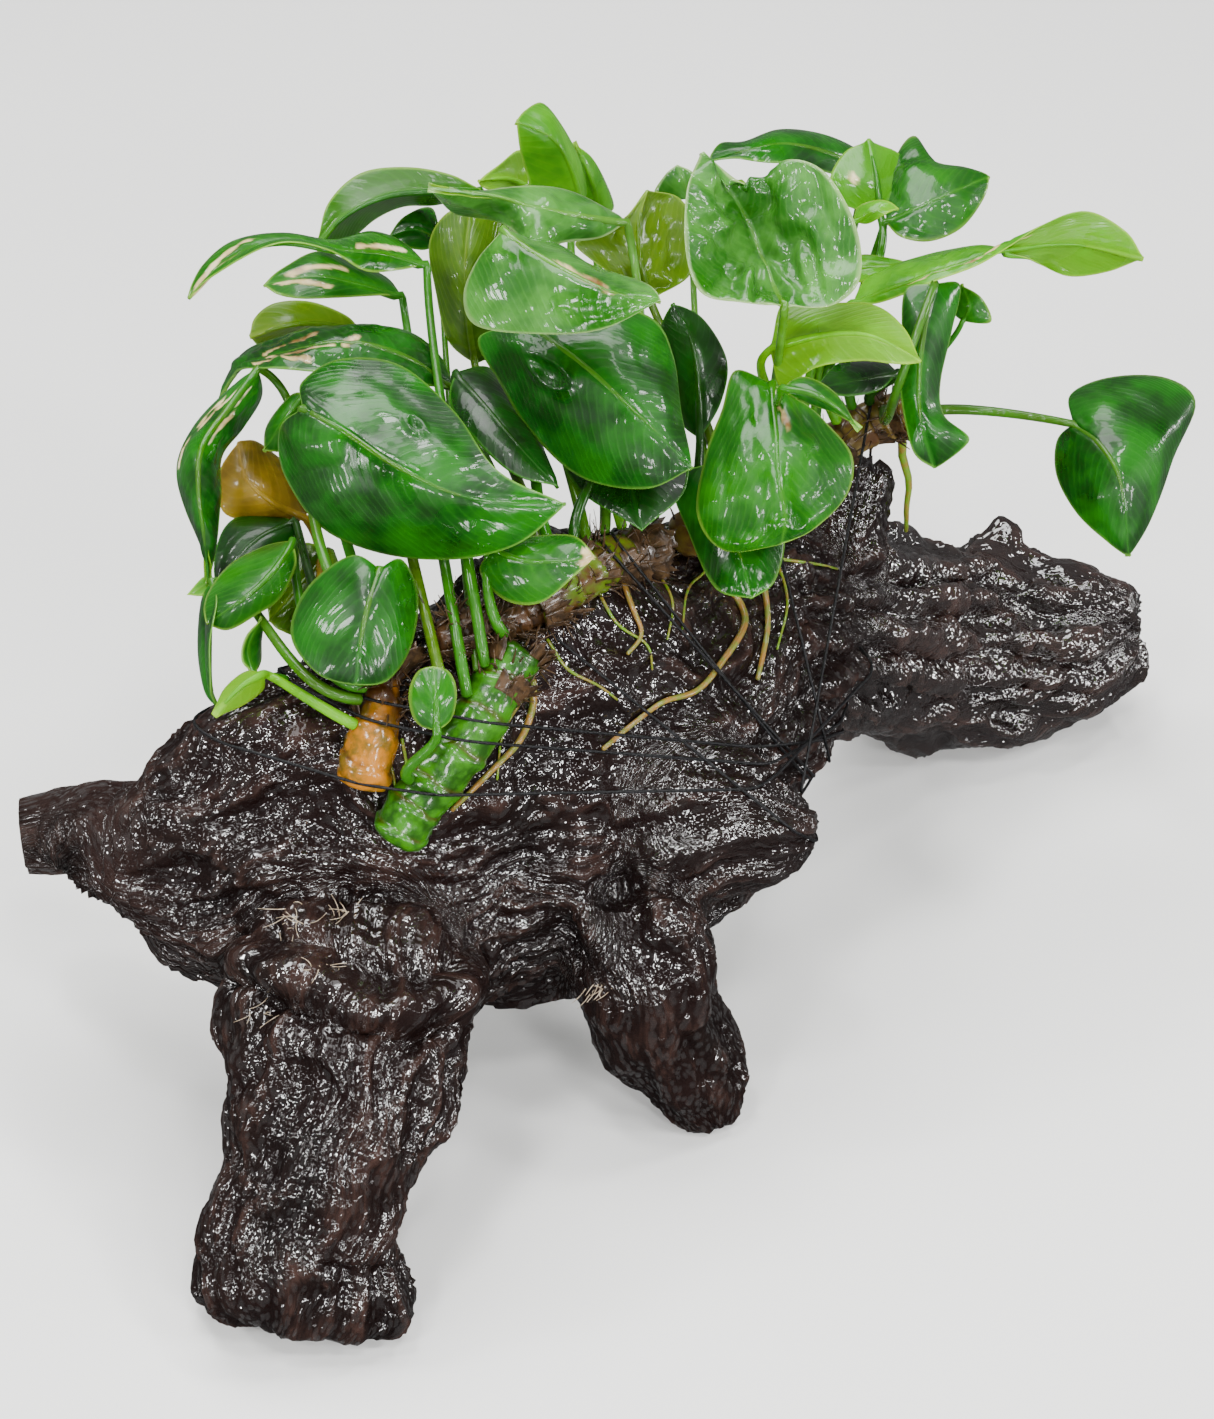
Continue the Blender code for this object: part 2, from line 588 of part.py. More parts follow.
Root = namedtuple("Root", "name stem share course radius")
ROOTS = (
    Root("root_front", "rhizome_front", 0.97, ((-15, 5), (-15, 0), (-18, -7), (-24, -13), (-31, -20)), 0.8),
    Root("root_ridge", "rhizome_ridge", 0.60, ((5, 20), (7, 15), (4, 11)), 0.6),
    Root("root_long", "rhizome_right", 0.14, ((24, 25), (27.5, 18), (24, 11), (18, 4), (10, 1), (-1, -8)), 0.8),
    Root("root_short", "rhizome_right", 0.26, ((31, 26), (32, 17), (30, 6)), 0.8),
    Root("root_right", "rhizome_right", 0.88, ((60, 46, -12), (60, 38, -22)), 0.9),
)
ROOT_STEP = 3.0
ROOT_LIFT = 1.1


def tube(points, radius, sides, closed=False):
    """Points and faces of a tube, its rings turned as little as possible from one to the next."""
    count = len(points)
    rings = []
    side = None
    for i, place in enumerate(points):
        before = points[i - 1] if i or closed else place
        after = points[(i + 1) % count] if i < count - 1 or closed else place
        along = (after - before).normalized()
        side = along.orthogonal() if side is None else side - along * side.dot(along)
        side = side.normalized()
        front = along.cross(side)
        turns = [math.tau * k / sides for k in range(sides)]
        rings.append([place + (side * math.cos(a) + front * math.sin(a)) * radius for a in turns])
    if not closed:
        return loft(rings)
    verts = [v for ring in rings for v in ring]
    faces = []
    shift = min(range(sides), key=lambda k: (rings[-1][0] - rings[0][k]).length)
    for low in range(count):
        high = (low + 1) % count
        turn = shift if high == 0 else 0
        for k in range(sides):
            a, b = low * sides + k, low * sides + (k + 1) % sides
            c, d = high * sides + (k + 1 + turn) % sides, high * sides + (k + turn) % sides
            faces += [(a, b, c), (a, c, d)]
    return outward(verts, faces)


def root_points(root):
    """From under the rhizome, down to the wood and along it."""
    path, radius = rhizomes[root.stem]
    centre = through(path, root.share)
    lift = root.radius + ROOT_LIFT
    first = seen(*root.course[0]) if len(root.course[0]) == 3 else on_wood(*root.course[0], lift)
    along = (through(path, root.share + 0.02) - through(path, root.share - 0.02)).normalized()
    out = first + NEAR * 3.0 - centre
    out = (out - along * out.dot(along)).normalized()
    start = centre + out * (radius * 1.08 + GAP)
    points = [start, start + out * (2.0 * root.radius)]
    course = [Vector(spot) if len(spot) == 3 else Vector((*spot, 0.0)) for spot in root.course]
    count = max(2, round(sum((b - a).length for a, b in zip(course, course[1:])) / ROOT_STEP))
    for i in range(count + 1):
        spot = through(course, i / count)
        free = len(root.course[0]) == 3
        points.append(seen(*spot) if free else on_wood(spot.x, spot.y, lift))
    return points


def make_roots():
    finish = material("root", (0.35, 0.22, 0.08), 0.5)
    for root in ROOTS:
        made = tube(root_points(root), root.radius, ROOT_SIDES)
        build(root.name, *made, finish)
        solids[root.name] = made


# Tie thread

Turn = namedtuple("Turn", "name first second third lift around")
FRONT = ("wood_body", "nose", "rhizome_front", "rhizome_ridge", "rhizome_old")
NECK = ("wood_body", "wood_right_trunk", "wood_back_stub", "rhizome_right")
TURNS = (
    Turn("thread_low", (-34, -12), (31, -13), (-48, 2, 40), 0.9, FRONT),
    Turn("thread_mid", (-27.5, -3), (30, -7), (-44, 9, 38), 1.7, FRONT),
    Turn("thread_neck", (34, 33), (43, -4), (36, 20, -40), 0.8, NECK),
)
HULL_STEP = 1.5


def section(name, place, normal):
    """Where a plane cuts a solid's faces."""
    verts, faces = solids[name]
    spots = []
    for face in faces:
        for a, b in zip(face, face[1:] + face[:1]):
            low, high = (verts[a] - place).dot(normal), (verts[b] - place).dot(normal)
            if low * high < 0.0:
                spots.append(verts[a].lerp(verts[b], low / (low - high)))
    return spots


def pulled_tight(turn):
    """The thread's way round: the hull of what its plane cuts, as a taut thread spans every hollow."""
    first, second, third = (seen(*spot) if len(spot) == 3 else on_wood(*spot, 0.0) for spot in turn[1:4])
    normal = (second - first).cross(third - first).normalized()
    level = (second - first).normalized()
    rise = normal.cross(level)
    flat = []
    for name in turn.around:
        for spot in section(name, first, normal):
            x, y = (spot - first).dot(level), (spot - first).dot(rise)
            flat += [Vector((x + math.cos(a) * turn.lift, y + math.sin(a) * turn.lift))
                     for a in (math.pi * k / 3 for k in range(6))]
    hull = [flat[i] for i in convex_hull_2d(flat)]
    if sum(a.cross(b) for a, b in zip(hull, hull[1:] + hull[:1])) < 0.0:
        hull.reverse()
    kept = [hull[0]]
    for spot in hull[1:]:
        if (spot - kept[-1]).length > HULL_STEP and (spot - hull[0]).length > HULL_STEP:
            kept.append(spot)
    return [first + level * spot.x + rise * spot.y for spot in kept]


def make_thread():
    finish = material("tie_thread", (0.01, 0.01, 0.01), 0.5)
    for turn in TURNS:
        solids[turn.name] = tube(pulled_tight(turn), THREAD_RADIUS, THREAD_SIDES, closed=True)
        made = build(turn.name, *solids[turn.name], finish)
        cut(wood_objects["wood_right_trunk"], fattened("around_" + turn.name, made))


def clear():
    for thing in list(bpy.data.objects):
        bpy.data.objects.remove(thing)


def main():
    clear()
    make_wood()
    lay_rhizomes()
    make_rhizomes()
    make_roots()
    make_thread()
    route_stalks()
    make_leaves()


main()
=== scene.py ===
"""Anubias nana tied to driftwood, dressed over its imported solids.

Everything is worked out in millimetres, in the solids' own frame, and built in metres. Places are given as
an onlooker sees them: to the right, up and near, from the point looked at.
"""

import math
from collections import namedtuple
from functools import partial

import bpy
import numpy as np
from mathutils import Matrix, Vector
from mathutils.bvhtree import BVHTree
from mathutils.geometry import convex_hull_2d


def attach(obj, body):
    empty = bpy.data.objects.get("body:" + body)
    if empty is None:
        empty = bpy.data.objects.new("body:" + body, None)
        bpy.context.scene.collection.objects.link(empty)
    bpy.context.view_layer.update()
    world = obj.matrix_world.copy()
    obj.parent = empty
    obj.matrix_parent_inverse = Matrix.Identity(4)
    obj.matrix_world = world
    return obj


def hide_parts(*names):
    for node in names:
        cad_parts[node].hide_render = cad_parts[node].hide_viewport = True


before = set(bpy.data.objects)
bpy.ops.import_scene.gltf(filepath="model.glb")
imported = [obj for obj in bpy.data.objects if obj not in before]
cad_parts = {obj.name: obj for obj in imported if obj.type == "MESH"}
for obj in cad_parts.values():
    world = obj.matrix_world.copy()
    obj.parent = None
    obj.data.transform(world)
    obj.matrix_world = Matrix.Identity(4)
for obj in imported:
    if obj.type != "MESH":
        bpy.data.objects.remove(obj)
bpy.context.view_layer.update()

bl_info = {
    "name": "Anubias on Driftwood",
    "version": (1, 0, 0),
    "blender": (4, 5, 0),
    "location": "3D View > Sidebar > Anubias",
    "description": "Builds an anubias tied to driftwood: wood, rhizomes, leaves, roots and thread",
    "category": "Add Mesh",
}

MM = 0.001
PHOTO_SIZE = (1214, 1419)
PHOTO_PIXELS_PER_MM = 5.0

# The onlooker's place
AIM = Vector((-0.57, 22.13, 50.0))
EYE_RISE = math.radians(40.0)
EYE_DISTANCE = 700.0
RIGHT = Vector((1.0, 0.0, 0.0))
UP = Vector((0.0, math.sin(EYE_RISE), math.cos(EYE_RISE)))
NEAR = Vector((0.0, -math.cos(EYE_RISE), math.sin(EYE_RISE)))
EYE = AIM + NEAR * EYE_DISTANCE


def seen(right, up, near):
    """The point that an onlooker sees this far right and up of the middle, this much nearer than it."""
    shrink = (EYE_DISTANCE - near) / EYE_DISTANCE
    return AIM + RIGHT * (right * shrink) + UP * (up * shrink) + NEAR * near


def turned(right, up, near):
    """A direction or offset in the onlooker's axes."""
    return RIGHT * right + UP * up + NEAR * near


def met(surface, right, up):
    """Where an onlooker's sight of a place meets a surface, and the way the surface faces there."""
    return surface.ray_cast(EYE, (seen(right, up, 0.0) - EYE).normalized())[:2]


def lifted(place, normal, height):
    """A place on a surface, lifted off it to the side that the onlooker sees."""
    return place + (normal + NEAR).normalized() * height


def through(points, share):
    """A smooth curve through points, at share 0 to 1 of its spans."""
    spans = len(points) - 1
    at = min(max(share, 0.0), 1.0) * spans
    index = min(int(at), spans - 1)
    u = at - index
    b, c = points[index], points[index + 1]
    a = points[index - 1] if index else b * 2 - c
    d = points[index + 2] if index + 2 <= spans else c * 2 - b
    square = (a * 2 - b * 5 + c * 4 - d) * (u * u)
    cube = (b * 3 - a - c * 3 + d) * (u ** 3)
    return (b * 2 + (c - a) * u + square + cube) * 0.5


def heading(points, share):
    """The way that a curve through points runs at a share of it."""
    return (through(points, share + 0.02) - through(points, share - 0.02)).normalized()


def run_length(points):
    """The length of a run of straight steps."""
    return sum((b - a).length for a, b in zip(points, points[1:]))


def unit(vectors):
    """Vectors brought to a length of one."""
    return vectors / (np.linalg.norm(vectors, axis=-1, keepdims=True) + 1e-9)


def ease(values, low, high):
    """0 below low, 1 above high, smooth between."""
    share = np.clip((values - low) / (high - low), 0.0, 1.0)
    return share * share * (3.0 - 2.0 * share)


def grain_noise(points, seed):
    """Smooth noise from -1 to 1 at an array of points, with one bump a unit."""
    base = np.floor(points).astype(np.int64)
    part = points - base
    part = part * part * (3.0 - 2.0 * part)
    total = np.zeros(len(points))
    for corner in range(8):
        step = np.array([(corner >> axis) & 1 for axis in range(3)])
        code = (base + step) @ np.array((374761393, 668265263, 974634777)) + seed * 1274126177
        code = (code ^ (code >> 13)) * 1274126177
        code = (code ^ (code >> 16)) & 0xFFFF
        total += np.prod(np.where(step == 1, part, 1.0 - part), axis=1) * (code / 32767.5 - 1.0)
    return total


def layered(points, seed, layers=3):
    """Noise with finer noise on it."""
    return sum(grain_noise(points * 2.0 ** layer, seed + 17 * layer) * 0.55 ** layer for layer in range(layers))


def noises(points, seed, count=3, layers=3):
    """Noises of their own for each axis of an offset."""
    return np.stack([layered(points, seed + axis, layers) for axis in range(count)], 1)


# Shared mesh making

# A direction that no run starts in
ANY_WAY = (0.31, 0.52, 0.79)


def make_piece(name, verts, faces, finish, nodes=(), marks=None):
    """A smooth piece from points in millimetres that rides on the frame and stands for its solids."""
    mesh = bpy.data.meshes.new(name)
    mesh.from_pydata((np.asarray(verts, float) * MM).tolist(), [], [tuple(face) for face in faces])
    mesh.shade_smooth()
    for mark, values in (marks or {}).items():
        values = np.asarray(values, np.float32)
        kind, field = ("FLOAT", "value") if values.ndim == 1 else ("FLOAT_VECTOR", "vector")
        mesh.attributes.new(mark, kind, "POINT").data.foreach_set(field, values.ravel())
    mesh.materials.append(finish)
    made = bpy.data.objects.new(name, mesh)
    bpy.context.collection.objects.link(made)
    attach(made, "root")
    if nodes:
        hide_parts(*nodes)


def tube(points, radii, sides):
    """Points, faces and length marks of a round run with rounded ends, its rings turned as little as may be."""
    # each end closes on a smaller ring, set out by a share of the radius
    cap_out, cap_size = 0.4, 0.5
    points = np.array([tuple(p) for p in points])
    radii = np.broadcast_to(np.asarray(radii, float), len(points))
    along = unit(np.gradient(points, axis=0))
    side = np.cross(along[0], ANY_WAY)
    turns = np.arange(sides) * math.tau / sides
    rings = []
    for place, way, radius in zip(points, along, radii):
        side = side - way * side.dot(way)
        side /= np.linalg.norm(side)
        rings.append(place + (np.outer(np.cos(turns), side) + np.outer(np.sin(turns), np.cross(way, side))) * radius)
    rings.insert(0, points[0] - along[0] * radii[0] * cap_out + (rings[0] - points[0]) * cap_size)
    rings.append(points[-1] + along[-1] * radii[-1] * cap_out + (rings[-1] - points[-1]) * cap_size)
    far = np.concatenate(([0.0], np.cumsum(np.linalg.norm(np.diff(points, axis=0), axis=1))))
    marks = np.repeat(np.concatenate((far[:1], far, far[-1:])), sides)
    return np.concatenate(rings), ring_faces(len(rings), sides), marks


def ring_faces(count, sides, closed=False):
    """Quads between equal rings, with flat ends where the run isn't closed."""
    faces = []
    for low in range(count if closed else count - 1):
        a, b = low * sides, ((low + 1) % count) * sides
        for k in range(sides):
            after = (k + 1) % sides
            faces.append((a + k, a + after, b + after, b + k))
    if not closed:
        faces.append(tuple(reversed(range(sides))))
        faces.append(tuple((count - 1) * sides + k for k in range(sides)))
    return faces


def sheet_faces(rows, columns):
    """Quads of a closed sheet: an upper grid of points, a lower one numbered after it, and the edge between."""
    under, faces = rows * columns, []
    for i in range(rows - 1):
        for j in range(columns - 1):
            a = i * columns + j
            faces.append((a, a + 1, a + columns + 1, a + columns))
            faces.append((under + a, under + a + columns, under + a + columns + 1, under + a + 1))
    edge = list(range(columns)) + [i * columns + columns - 1 for i in range(1, rows)]
    edge += [under - 1 - j for j in range(1, columns)] + [i * columns for i in range(rows - 2, 0, -1)]
    return faces + [(b, a, under + a, under + b) for a, b in zip(edge, edge[1:] + edge[:1])]


def gathered(parts):
    """Several (points, faces, marks) as one."""
    faces, first = [], 0
    for part_verts, part_faces, _ in parts:
        faces += [tuple(first + k for k in face) for face in part_faces]
        first += len(part_verts)
    return np.concatenate([part[0] for part in parts]), faces, np.concatenate([part[2] for part in parts])


# Shared material making

COLOURS, SMOOTH = {"data_type": "RGBA"}, {"interpolation_type": "SMOOTHSTEP"}
MINUS, TIMES, TIMES_PLUS, POWER, SIZE, SINE, LARGER, SMALLER = ({"operation": name} for name in (
    "SUBTRACT", "MULTIPLY", "MULTIPLY_ADD", "POWER", "ABSOLUTE", "SINE", "MAXIMUM", "MINIMUM"))


def linear(value):
    """A linear RGBA colour from an sRGB hex value."""
    parts = [int(value.lstrip("#")[i:i + 2], 16) / 255.0 for i in (0, 2, 4)]
    return tuple(c / 12.92 if c <= 0.04045 else ((c + 0.055) / 1.055) ** 2.4 for c in parts) + (1.0,)


def feed(node, *values, **named):
    """Sets a node's inputs to values or links them to sockets: those in use in order, then others by name."""
    in_use = [socket for socket in node.inputs if socket.enabled]
    wanted = list(zip(in_use, values)) + [(node.inputs[key.replace("_", " ")], named[key]) for key in named]
    for socket, value in wanted:
        if isinstance(value, bpy.types.NodeSocket):
            node.id_data.links.new(value, socket)
        else:
            socket.default_value = value


def add_node(tree, kind, settings=None, *values, output=None, stops=(), **named):
    """A shader node with its settings and links, of which it gives the named output or the first in use.

    Stops are a ramp's places and sRGB hex colours.
    """
    node = tree.nodes.new("ShaderNode" + kind)
    for key, value in (settings or {}).items():
        setattr(node, key, value)
    if stops:
        elements = node.color_ramp.elements
        for _ in stops[len(elements):]:
            elements.new(0.5)
        for element, (place, colour) in zip(elements, stops):
            element.position, element.color = place, linear(colour)
    feed(node, *values, **named)
    return node.outputs[output] if output else next(socket for socket in node.outputs if socket.enabled)


def new_finish(name):
    """An empty material, its shader, and add_node for its nodes."""
    made = bpy.data.materials.new(name)
    made.use_nodes = True
    return made, made.node_tree.nodes["Principled BSDF"], partial(add_node, made.node_tree)


def driftwood_finish(name, dark, mid, light):
    """Waterlogged bogwood: red-brown along its grain with worn fibres that stand up along it, darkened to nearly
    black in its furrows by painted shade, and a film of water that glints on each of the fibres."""
    made, shader, add = new_finish(name)
    grain = add("Attribute", {"attribute_name": "grain"}, output="Vector")
    relief, pale, sleek = (add("Attribute", {"attribute_name": mark}, output="Fac")
                           for mark in ("relief", "pale", "sleek"))
    # fibres about 0.8 mm apart and 6 mm long; the mark holds millimetres with the run along the grain shortened
    fibres = add("TexNoise", None, grain, Scale=1.25, Detail=4.0, Roughness=0.65)
    strands = add("TexNoise", None, grain, Scale=0.42, Detail=3.0, Roughness=0.6)
    place = add("TexCoord", output="Object")
    # pores and grit about 0.7 mm apart, and stains about 20 mm wide
    grit = add("TexNoise", None, place, Scale=1400.0, Detail=3.0, Roughness=0.65)
    stain = add("TexNoise", None, place, Scale=50.0, Detail=2.0, Roughness=0.5)
    # painted shade: the relief mark, high on ridges and low in furrows, darkens the tone in the furrows; fibres and
    # strands are the grain's own tone
    tone = add("Math", TIMES_PLUS, relief, 0.40, add("Math", TIMES, fibres, 0.5))
    tone = add("Math", TIMES_PLUS, strands, 0.25, tone)
    colour = add("ValToRGB", None, tone, stops=((0.38, dark), (0.60, mid), (0.86, light)))
    worn = add("ValToRGB", None, tone, stops=((0.30, "#1a1311"), (0.55, "#332825"), (0.85, "#54453f")))
    colour = add("Mix", COLOURS, add("Math", TIMES, pale, 0.75), colour, worn)
    colour = add("Mix", COLOURS, add("Math", TIMES, stain, 0.45), colour, linear("#26100d"))
    height = add("Math", TIMES_PLUS, grit, 0.45, add("Math", TIMES, fibres, 0.6))
    height = add("Math", TIMES_PLUS, strands, 0.6, height)
    # the film follows swellings about 2.5 mm wide and stands in flat beads 0.9 mm wide and 2 mm long, that glint
    strokes = add("VectorMath", TIMES, grain, (3.4, 1.0, 1.0))
    bead = add("TexVoronoi", {"feature": "SMOOTH_F1"}, strokes, Scale=1.1, Smoothness=0.3)
    flat_bead = add("Math", MINUS, 1.0, add("MapRange", SMOOTH, bead, 0.30, 0.60))
    swelling = add("TexNoise", None, place, Scale=420.0, Detail=1.0)
    beaded = add("Math", TIMES_PLUS, bead, -0.18, add("Math", TIMES, swelling, 1.1))
    beaded = add("Math", TIMES, beaded, add("Math", TIMES_PLUS, sleek, -0.4, 1.0))
    film = add("Math", TIMES_PLUS, strands, 1.3, beaded)
    feed(shader, Base_Color=colour, Roughness=add("Math", TIMES_PLUS, grit, 0.3, 0.35), Specular_IOR_Level=0.06,
         Normal=add("Bump", None, Height=height, Strength=0.9, Distance=0.001),
         Coat_Weight=add("Math", LARGER, flat_bead, sleek), Coat_IOR=2.0, Coat_Roughness=0.07,
         Coat_Normal=add("Bump", None, Height=film, Strength=1.0, Distance=0.001))
    return made


def leaf_finish(name, upper, deep, under, vein, margin, wet):
    """Waxy anubias blade: a thick smooth skin over faint side veins that sweep to the tip, wet above with a film
    that beads in a few patches, and satin and yellower below."""
    made, shader, add = new_finish(name)
    blade = add("Attribute", {"attribute_name": "blade"}, output="Vector")
    run, reach, below = add("SeparateXYZ", None, blade).node.outputs
    scar, rim = (add("Attribute", {"attribute_name": mark}, output="Fac") for mark in ("scar", "rim"))
    place = add("TexCoord", output="Object")
    # side veins leave the midrib and bend to the tip, 2.4 mm apart and uneven
    mottle = add("TexNoise", None, place, Scale=95.0, Detail=4.0, Roughness=0.55)
    wide = add("Math", SIZE, reach)
    bent = add("Math", TIMES_PLUS, add("Math", POWER, wide, 1.4), -0.5, run)
    bent = add("Math", TIMES_PLUS, mottle, 3.0, bent)
    wave = add("Math", SINE, add("Math", TIMES, bent, math.tau / 2.4))
    ridge = add("Math", POWER, add("Math", TIMES_PLUS, wave, 0.5, 0.5), 4.0)
    # the midrib is 1.4 mm wide
    midrib = add("Math", MINUS, 1.0, add("Math", SMALLER, add("Math", TIMES, wide, 1.0 / 0.7), 1.0))
    veins = add("Math", LARGER, add("Math", TIMES, ridge, 0.22), midrib)
    top = add("Mix", COLOURS, add("MapRange", SMOOTH, mottle, 0.35, 0.66), linear(deep), linear(upper))
    top = add("Mix", COLOURS, add("Math", TIMES, veins, 0.38), top, linear(vein))
    low = add("Mix", COLOURS, add("Math", TIMES, veins, 0.5), linear(under), linear(vein))
    low = add("Mix", COLOURS, add("MapRange", SMOOTH, mottle, 0.5, 0.8), low, linear(upper))
    colour = add("Mix", COLOURS, below, top, low)
    colour = add("Mix", COLOURS, add("Math", TIMES, rim, 0.55), colour, linear(margin))
    scarred = add("ValToRGB", None, mottle, stops=((0.35, "#6b4a22"), (0.5, "#c9b27c"), (0.65, "#e6dcae")))
    colour = add("Mix", COLOURS, scar, colour, scarred)
    # the skin is satin, and mirror-wet in patches about 20 mm apart where the film beads about 2 mm wide
    patch = add("TexNoise", None, place, Scale=52.0, Detail=2.0)
    rough = add("Math", TIMES_PLUS, add("MapRange", SMOOTH, patch, 0.48, 0.62), -0.24, 0.42)
    # the film swells in waves about 7 mm apart, with a few drops 2 mm wide
    swell = add("TexNoise", None, place, Scale=150.0, Detail=1.0)
    bead = add("TexNoise", None, place, Scale=480.0, Detail=1.5, Roughness=0.5)
    drops = add("Math", TIMES, add("MapRange", SMOOTH, bead, 0.56, 0.68), add("MapRange", SMOOTH, patch, 0.60, 0.66))
    film = add("Math", TIMES_PLUS, swell, 0.45, add("Math", TIMES, veins, -0.05))
    film = add("Math", TIMES_PLUS, drops, 0.22, film)
    feed(shader, Base_Color=colour, Roughness=rough, IOR=1.45, Specular_IOR_Level=0.3,
         Normal=add("Bump", None, Height=veins, Strength=0.6, Distance=0.0002),
         Coat_Weight=wet, Coat_Roughness=0.08, Coat_IOR=1.4,
         Coat_Normal=add("Bump", None, Height=film, Strength=1.0, Distance=0.002),
         Subsurface_Weight=0.15, Subsurface_Scale=0.0015, Subsurface_Radius=(0.5, 1.0, 0.1))
    return made


def stem_finish(name, fresh, aged, scar, coat, scale=260.0):
    """Waxy green stem tissue, mottled and ringed by old leaf scars."""
    made, shader, add = new_finish(name)
    mark = add("Attribute", {"attribute_name": "mark"}, output="Fac")
    mottle = add("TexNoise", None, add("TexCoord", output="Object"), Scale=scale, Detail=4.0, Roughness=0.6)
    colour = add("Mix", COLOURS, add("MapRange", SMOOTH, mottle, 0.38, 0.64), linear(fresh), linear(aged))
    feed(shader, Base_Color=add("Mix", COLOURS, mark, colour, linear(scar)), Roughness=0.3,
         Specular_IOR_Level=0.25, Coat_Weight=coat, Coat_Roughness=0.12,
         Normal=add("Bump", None, Height=mottle, Strength=0.5, Distance=0.0006))
    return made


def thread_finish(name, colour):
    """Braided nylon: matt black plaits 0.6 mm across, each strand catching a thin light."""
    made, shader, add = new_finish(name)
    plait = add("TexNoise", None, add("TexCoord", output="Object"), Scale=2400.0, Detail=1.0)
    feed(shader, Base_Color=add("ValToRGB", None, plait, stops=((0.35, "#020202"), (0.7, colour))),
         Roughness=0.42, Specular_IOR_Level=0.2,
         Normal=add("Bump", None, Height=plait, Strength=0.5, Distance=0.0003))
    return made


# Driftwood

# Each limb's roughness, its paleness, how whole its film of water is, and its stations from fork to end: the
# middle, and half the width and depth in mm
Limb = namedtuple("Limb", "name rough light sleek stations")
LIMBS = (
    Limb("body", 1.0, 0.0, 0.15, (
        (seen(-98, -32, 40), 11, 7), (seen(-87, -32, 43), 22, 10), (seen(-71, -29, 45), 31, 13),
        (seen(-51, -24, 45), 34, 15), (seen(-31, -21, 43), 38, 15), (seen(-11, -12, 37), 42, 16),
        (seen(5.5, -3.5, 29), 42, 17), (seen(19, 6.5, 17), 32, 17), (seen(31, 14, 2), 25, 17),
        (seen(39, 16, -12), 18, 14))),
    Limb("nose", 1.0, 0.0, 0.4, (
        (seen(8, -20, 37), 16, 12), (seen(20, -22, 38), 16, 11), (seen(31, -24, 37), 11, 9),
        (seen(38, -23, 35), 6.5, 6), (seen(41, -22, 34), 2.5, 3))),
    Limb("arm", 0.45, 1.0, 0.0, (
        (seen(-84, -30, 44), 13, 9), (seen(-93, -29, 40), 14, 10), (seen(-101, -26, 34), 10.5, 9),
        (seen(-107, -24.5, 25), 8.2, 7.8), (seen(-111, -24.5, 18), 7.2, 7.2))),
    Limb("front_left_leg", 1.0, 0.0, 0.15, (
        (seen(-50, -44, 50), 20, 14), (seen(-51, -60, 58), 23, 17), (seen(-52.5, -74, 63), 20.5, 17),
        (seen(-54.5, -84, 63), 19, 16), (seen(-55, -95, 62), 17.5, 15), (seen(-60.5, -106, 61), 19.5, 15),
        (seen(-59.5, -116, 61), 22, 13), (seen(-60, -122, 60), 17, 8))),
    Limb("front_right_leg", 0.8, 0.0, 0.1, (
        (seen(5, -37, 40), 12, 10), (seen(8, -53, 38), 14, 11), (seen(13.5, -66, 29), 12.5, 10),
        (seen(18.6, -75, 22), 9, 8), (seen(21.4, -82, 18), 4.5, 5))),
    Limb("right_trunk", 1.35, 0.1, 0.9, (
        (seen(33, 12, -4), 14, 11), (seen(41, 15, -17), 20, 15), (seen(49, 16, -31), 22, 17),
        (seen(59, 14, -48), 21, 19), (seen(69, 12, -59), 21.5, 20), (seen(79, 12.5, -63.5), 21, 20),
        (seen(89, 13, -63.5), 18.5, 18), (seen(99, 15, -62), 13.5, 14), (seen(105, 16, -60), 7, 8))),
    Limb("back_stub", 1.2, 0.0, 0.3, (
        (seen(42, 12, -16), 11, 9), (seen(46, 28, -15), 8.5, 8), (seen(49, 40, -13), 6.5, 6.5),
        (seen(52, 49, -11), 5.5, 5.5))),
    Limb("rear_leg", 1.0, 0.0, 0.1, (
        (Vector((-30.6, -2.3, 55)), 15, 12), (Vector((-36.6, 15.7, 42)), 14, 12),
        (Vector((-42.6, 31.7, 27)), 12, 11), (Vector((-47.6, 43.7, 12)), 10, 10),
        (Vector((-50.6, 50.7, -4)), 9, 9))),
)
WOOD_NODES = ("wood_body", "wood_left_arm", "wood_front_left_leg", "wood_front_right_leg",
              "wood_right_trunk", "wood_back_stub", "wood_rear_leg")
LIMB_SAMPLES, RIDGE_STEPS, SMOOTHING_ROUNDS = 40, 30, 26
# How sharply one limb's grain gives way to the next at a fork
FORK_SHARPNESS = 9.0
# The solids are welded and swollen by this much, in mm, before they are joined into one skin
CORE_WELD, CORE_SWELL = 0.01, 0.4
# The spacing of furrows and of the strands on them, in mm along the grain and twice across it
FURROW_GAPS, STRAND_GAPS, STRAND_DEPTH = np.array((34.0, 6.5, 6.5)), np.array((15.0, 2.4, 2.4)), 0.42
# Soft pushes that shape the skin: place, reach in mm, shift
PUSHES = (
    (seen(-100, -50, 40), 8, turned(3, 8, 0)), (seen(-108, -37, 34), 6, turned(0, 4, 0)),
    (seen(-88, -8, 44), 9, turned(0, -1.5, 0)), (seen(-98, -12, 40), 7, turned(0, 0.5, 0)),
    (seen(-35, -100, 62), 9, turned(-6, 0, 0)), (seen(-33, -110, 62), 8, turned(-4, 0, 0)),
    (seen(28, -60, 36), 9, turned(-5, 0, 0)), (seen(31, -50, 36), 8, turned(-4, 0, 0)),
    (seen(79, 32, -62), 4.0, turned(0, 8, 0)), (seen(81, 37, -62), 3.0, turned(2, 0, 0)),
    (seen(-21, -57, 44), 2.6, turned(0, -5, 0)), (seen(33, -8, 28), 2.4, turned(3, -2, 0)),
    (seen(104, 22, -60), 4, turned(2, 1, 0)), (seen(106, 8, -60), 4, turned(2, -1, 0)),
    (seen(-20, -34, 57), 6, turned(0, 0, -3)), (seen(-70, -5, 55), 8, turned(0, 0, 3)),
)
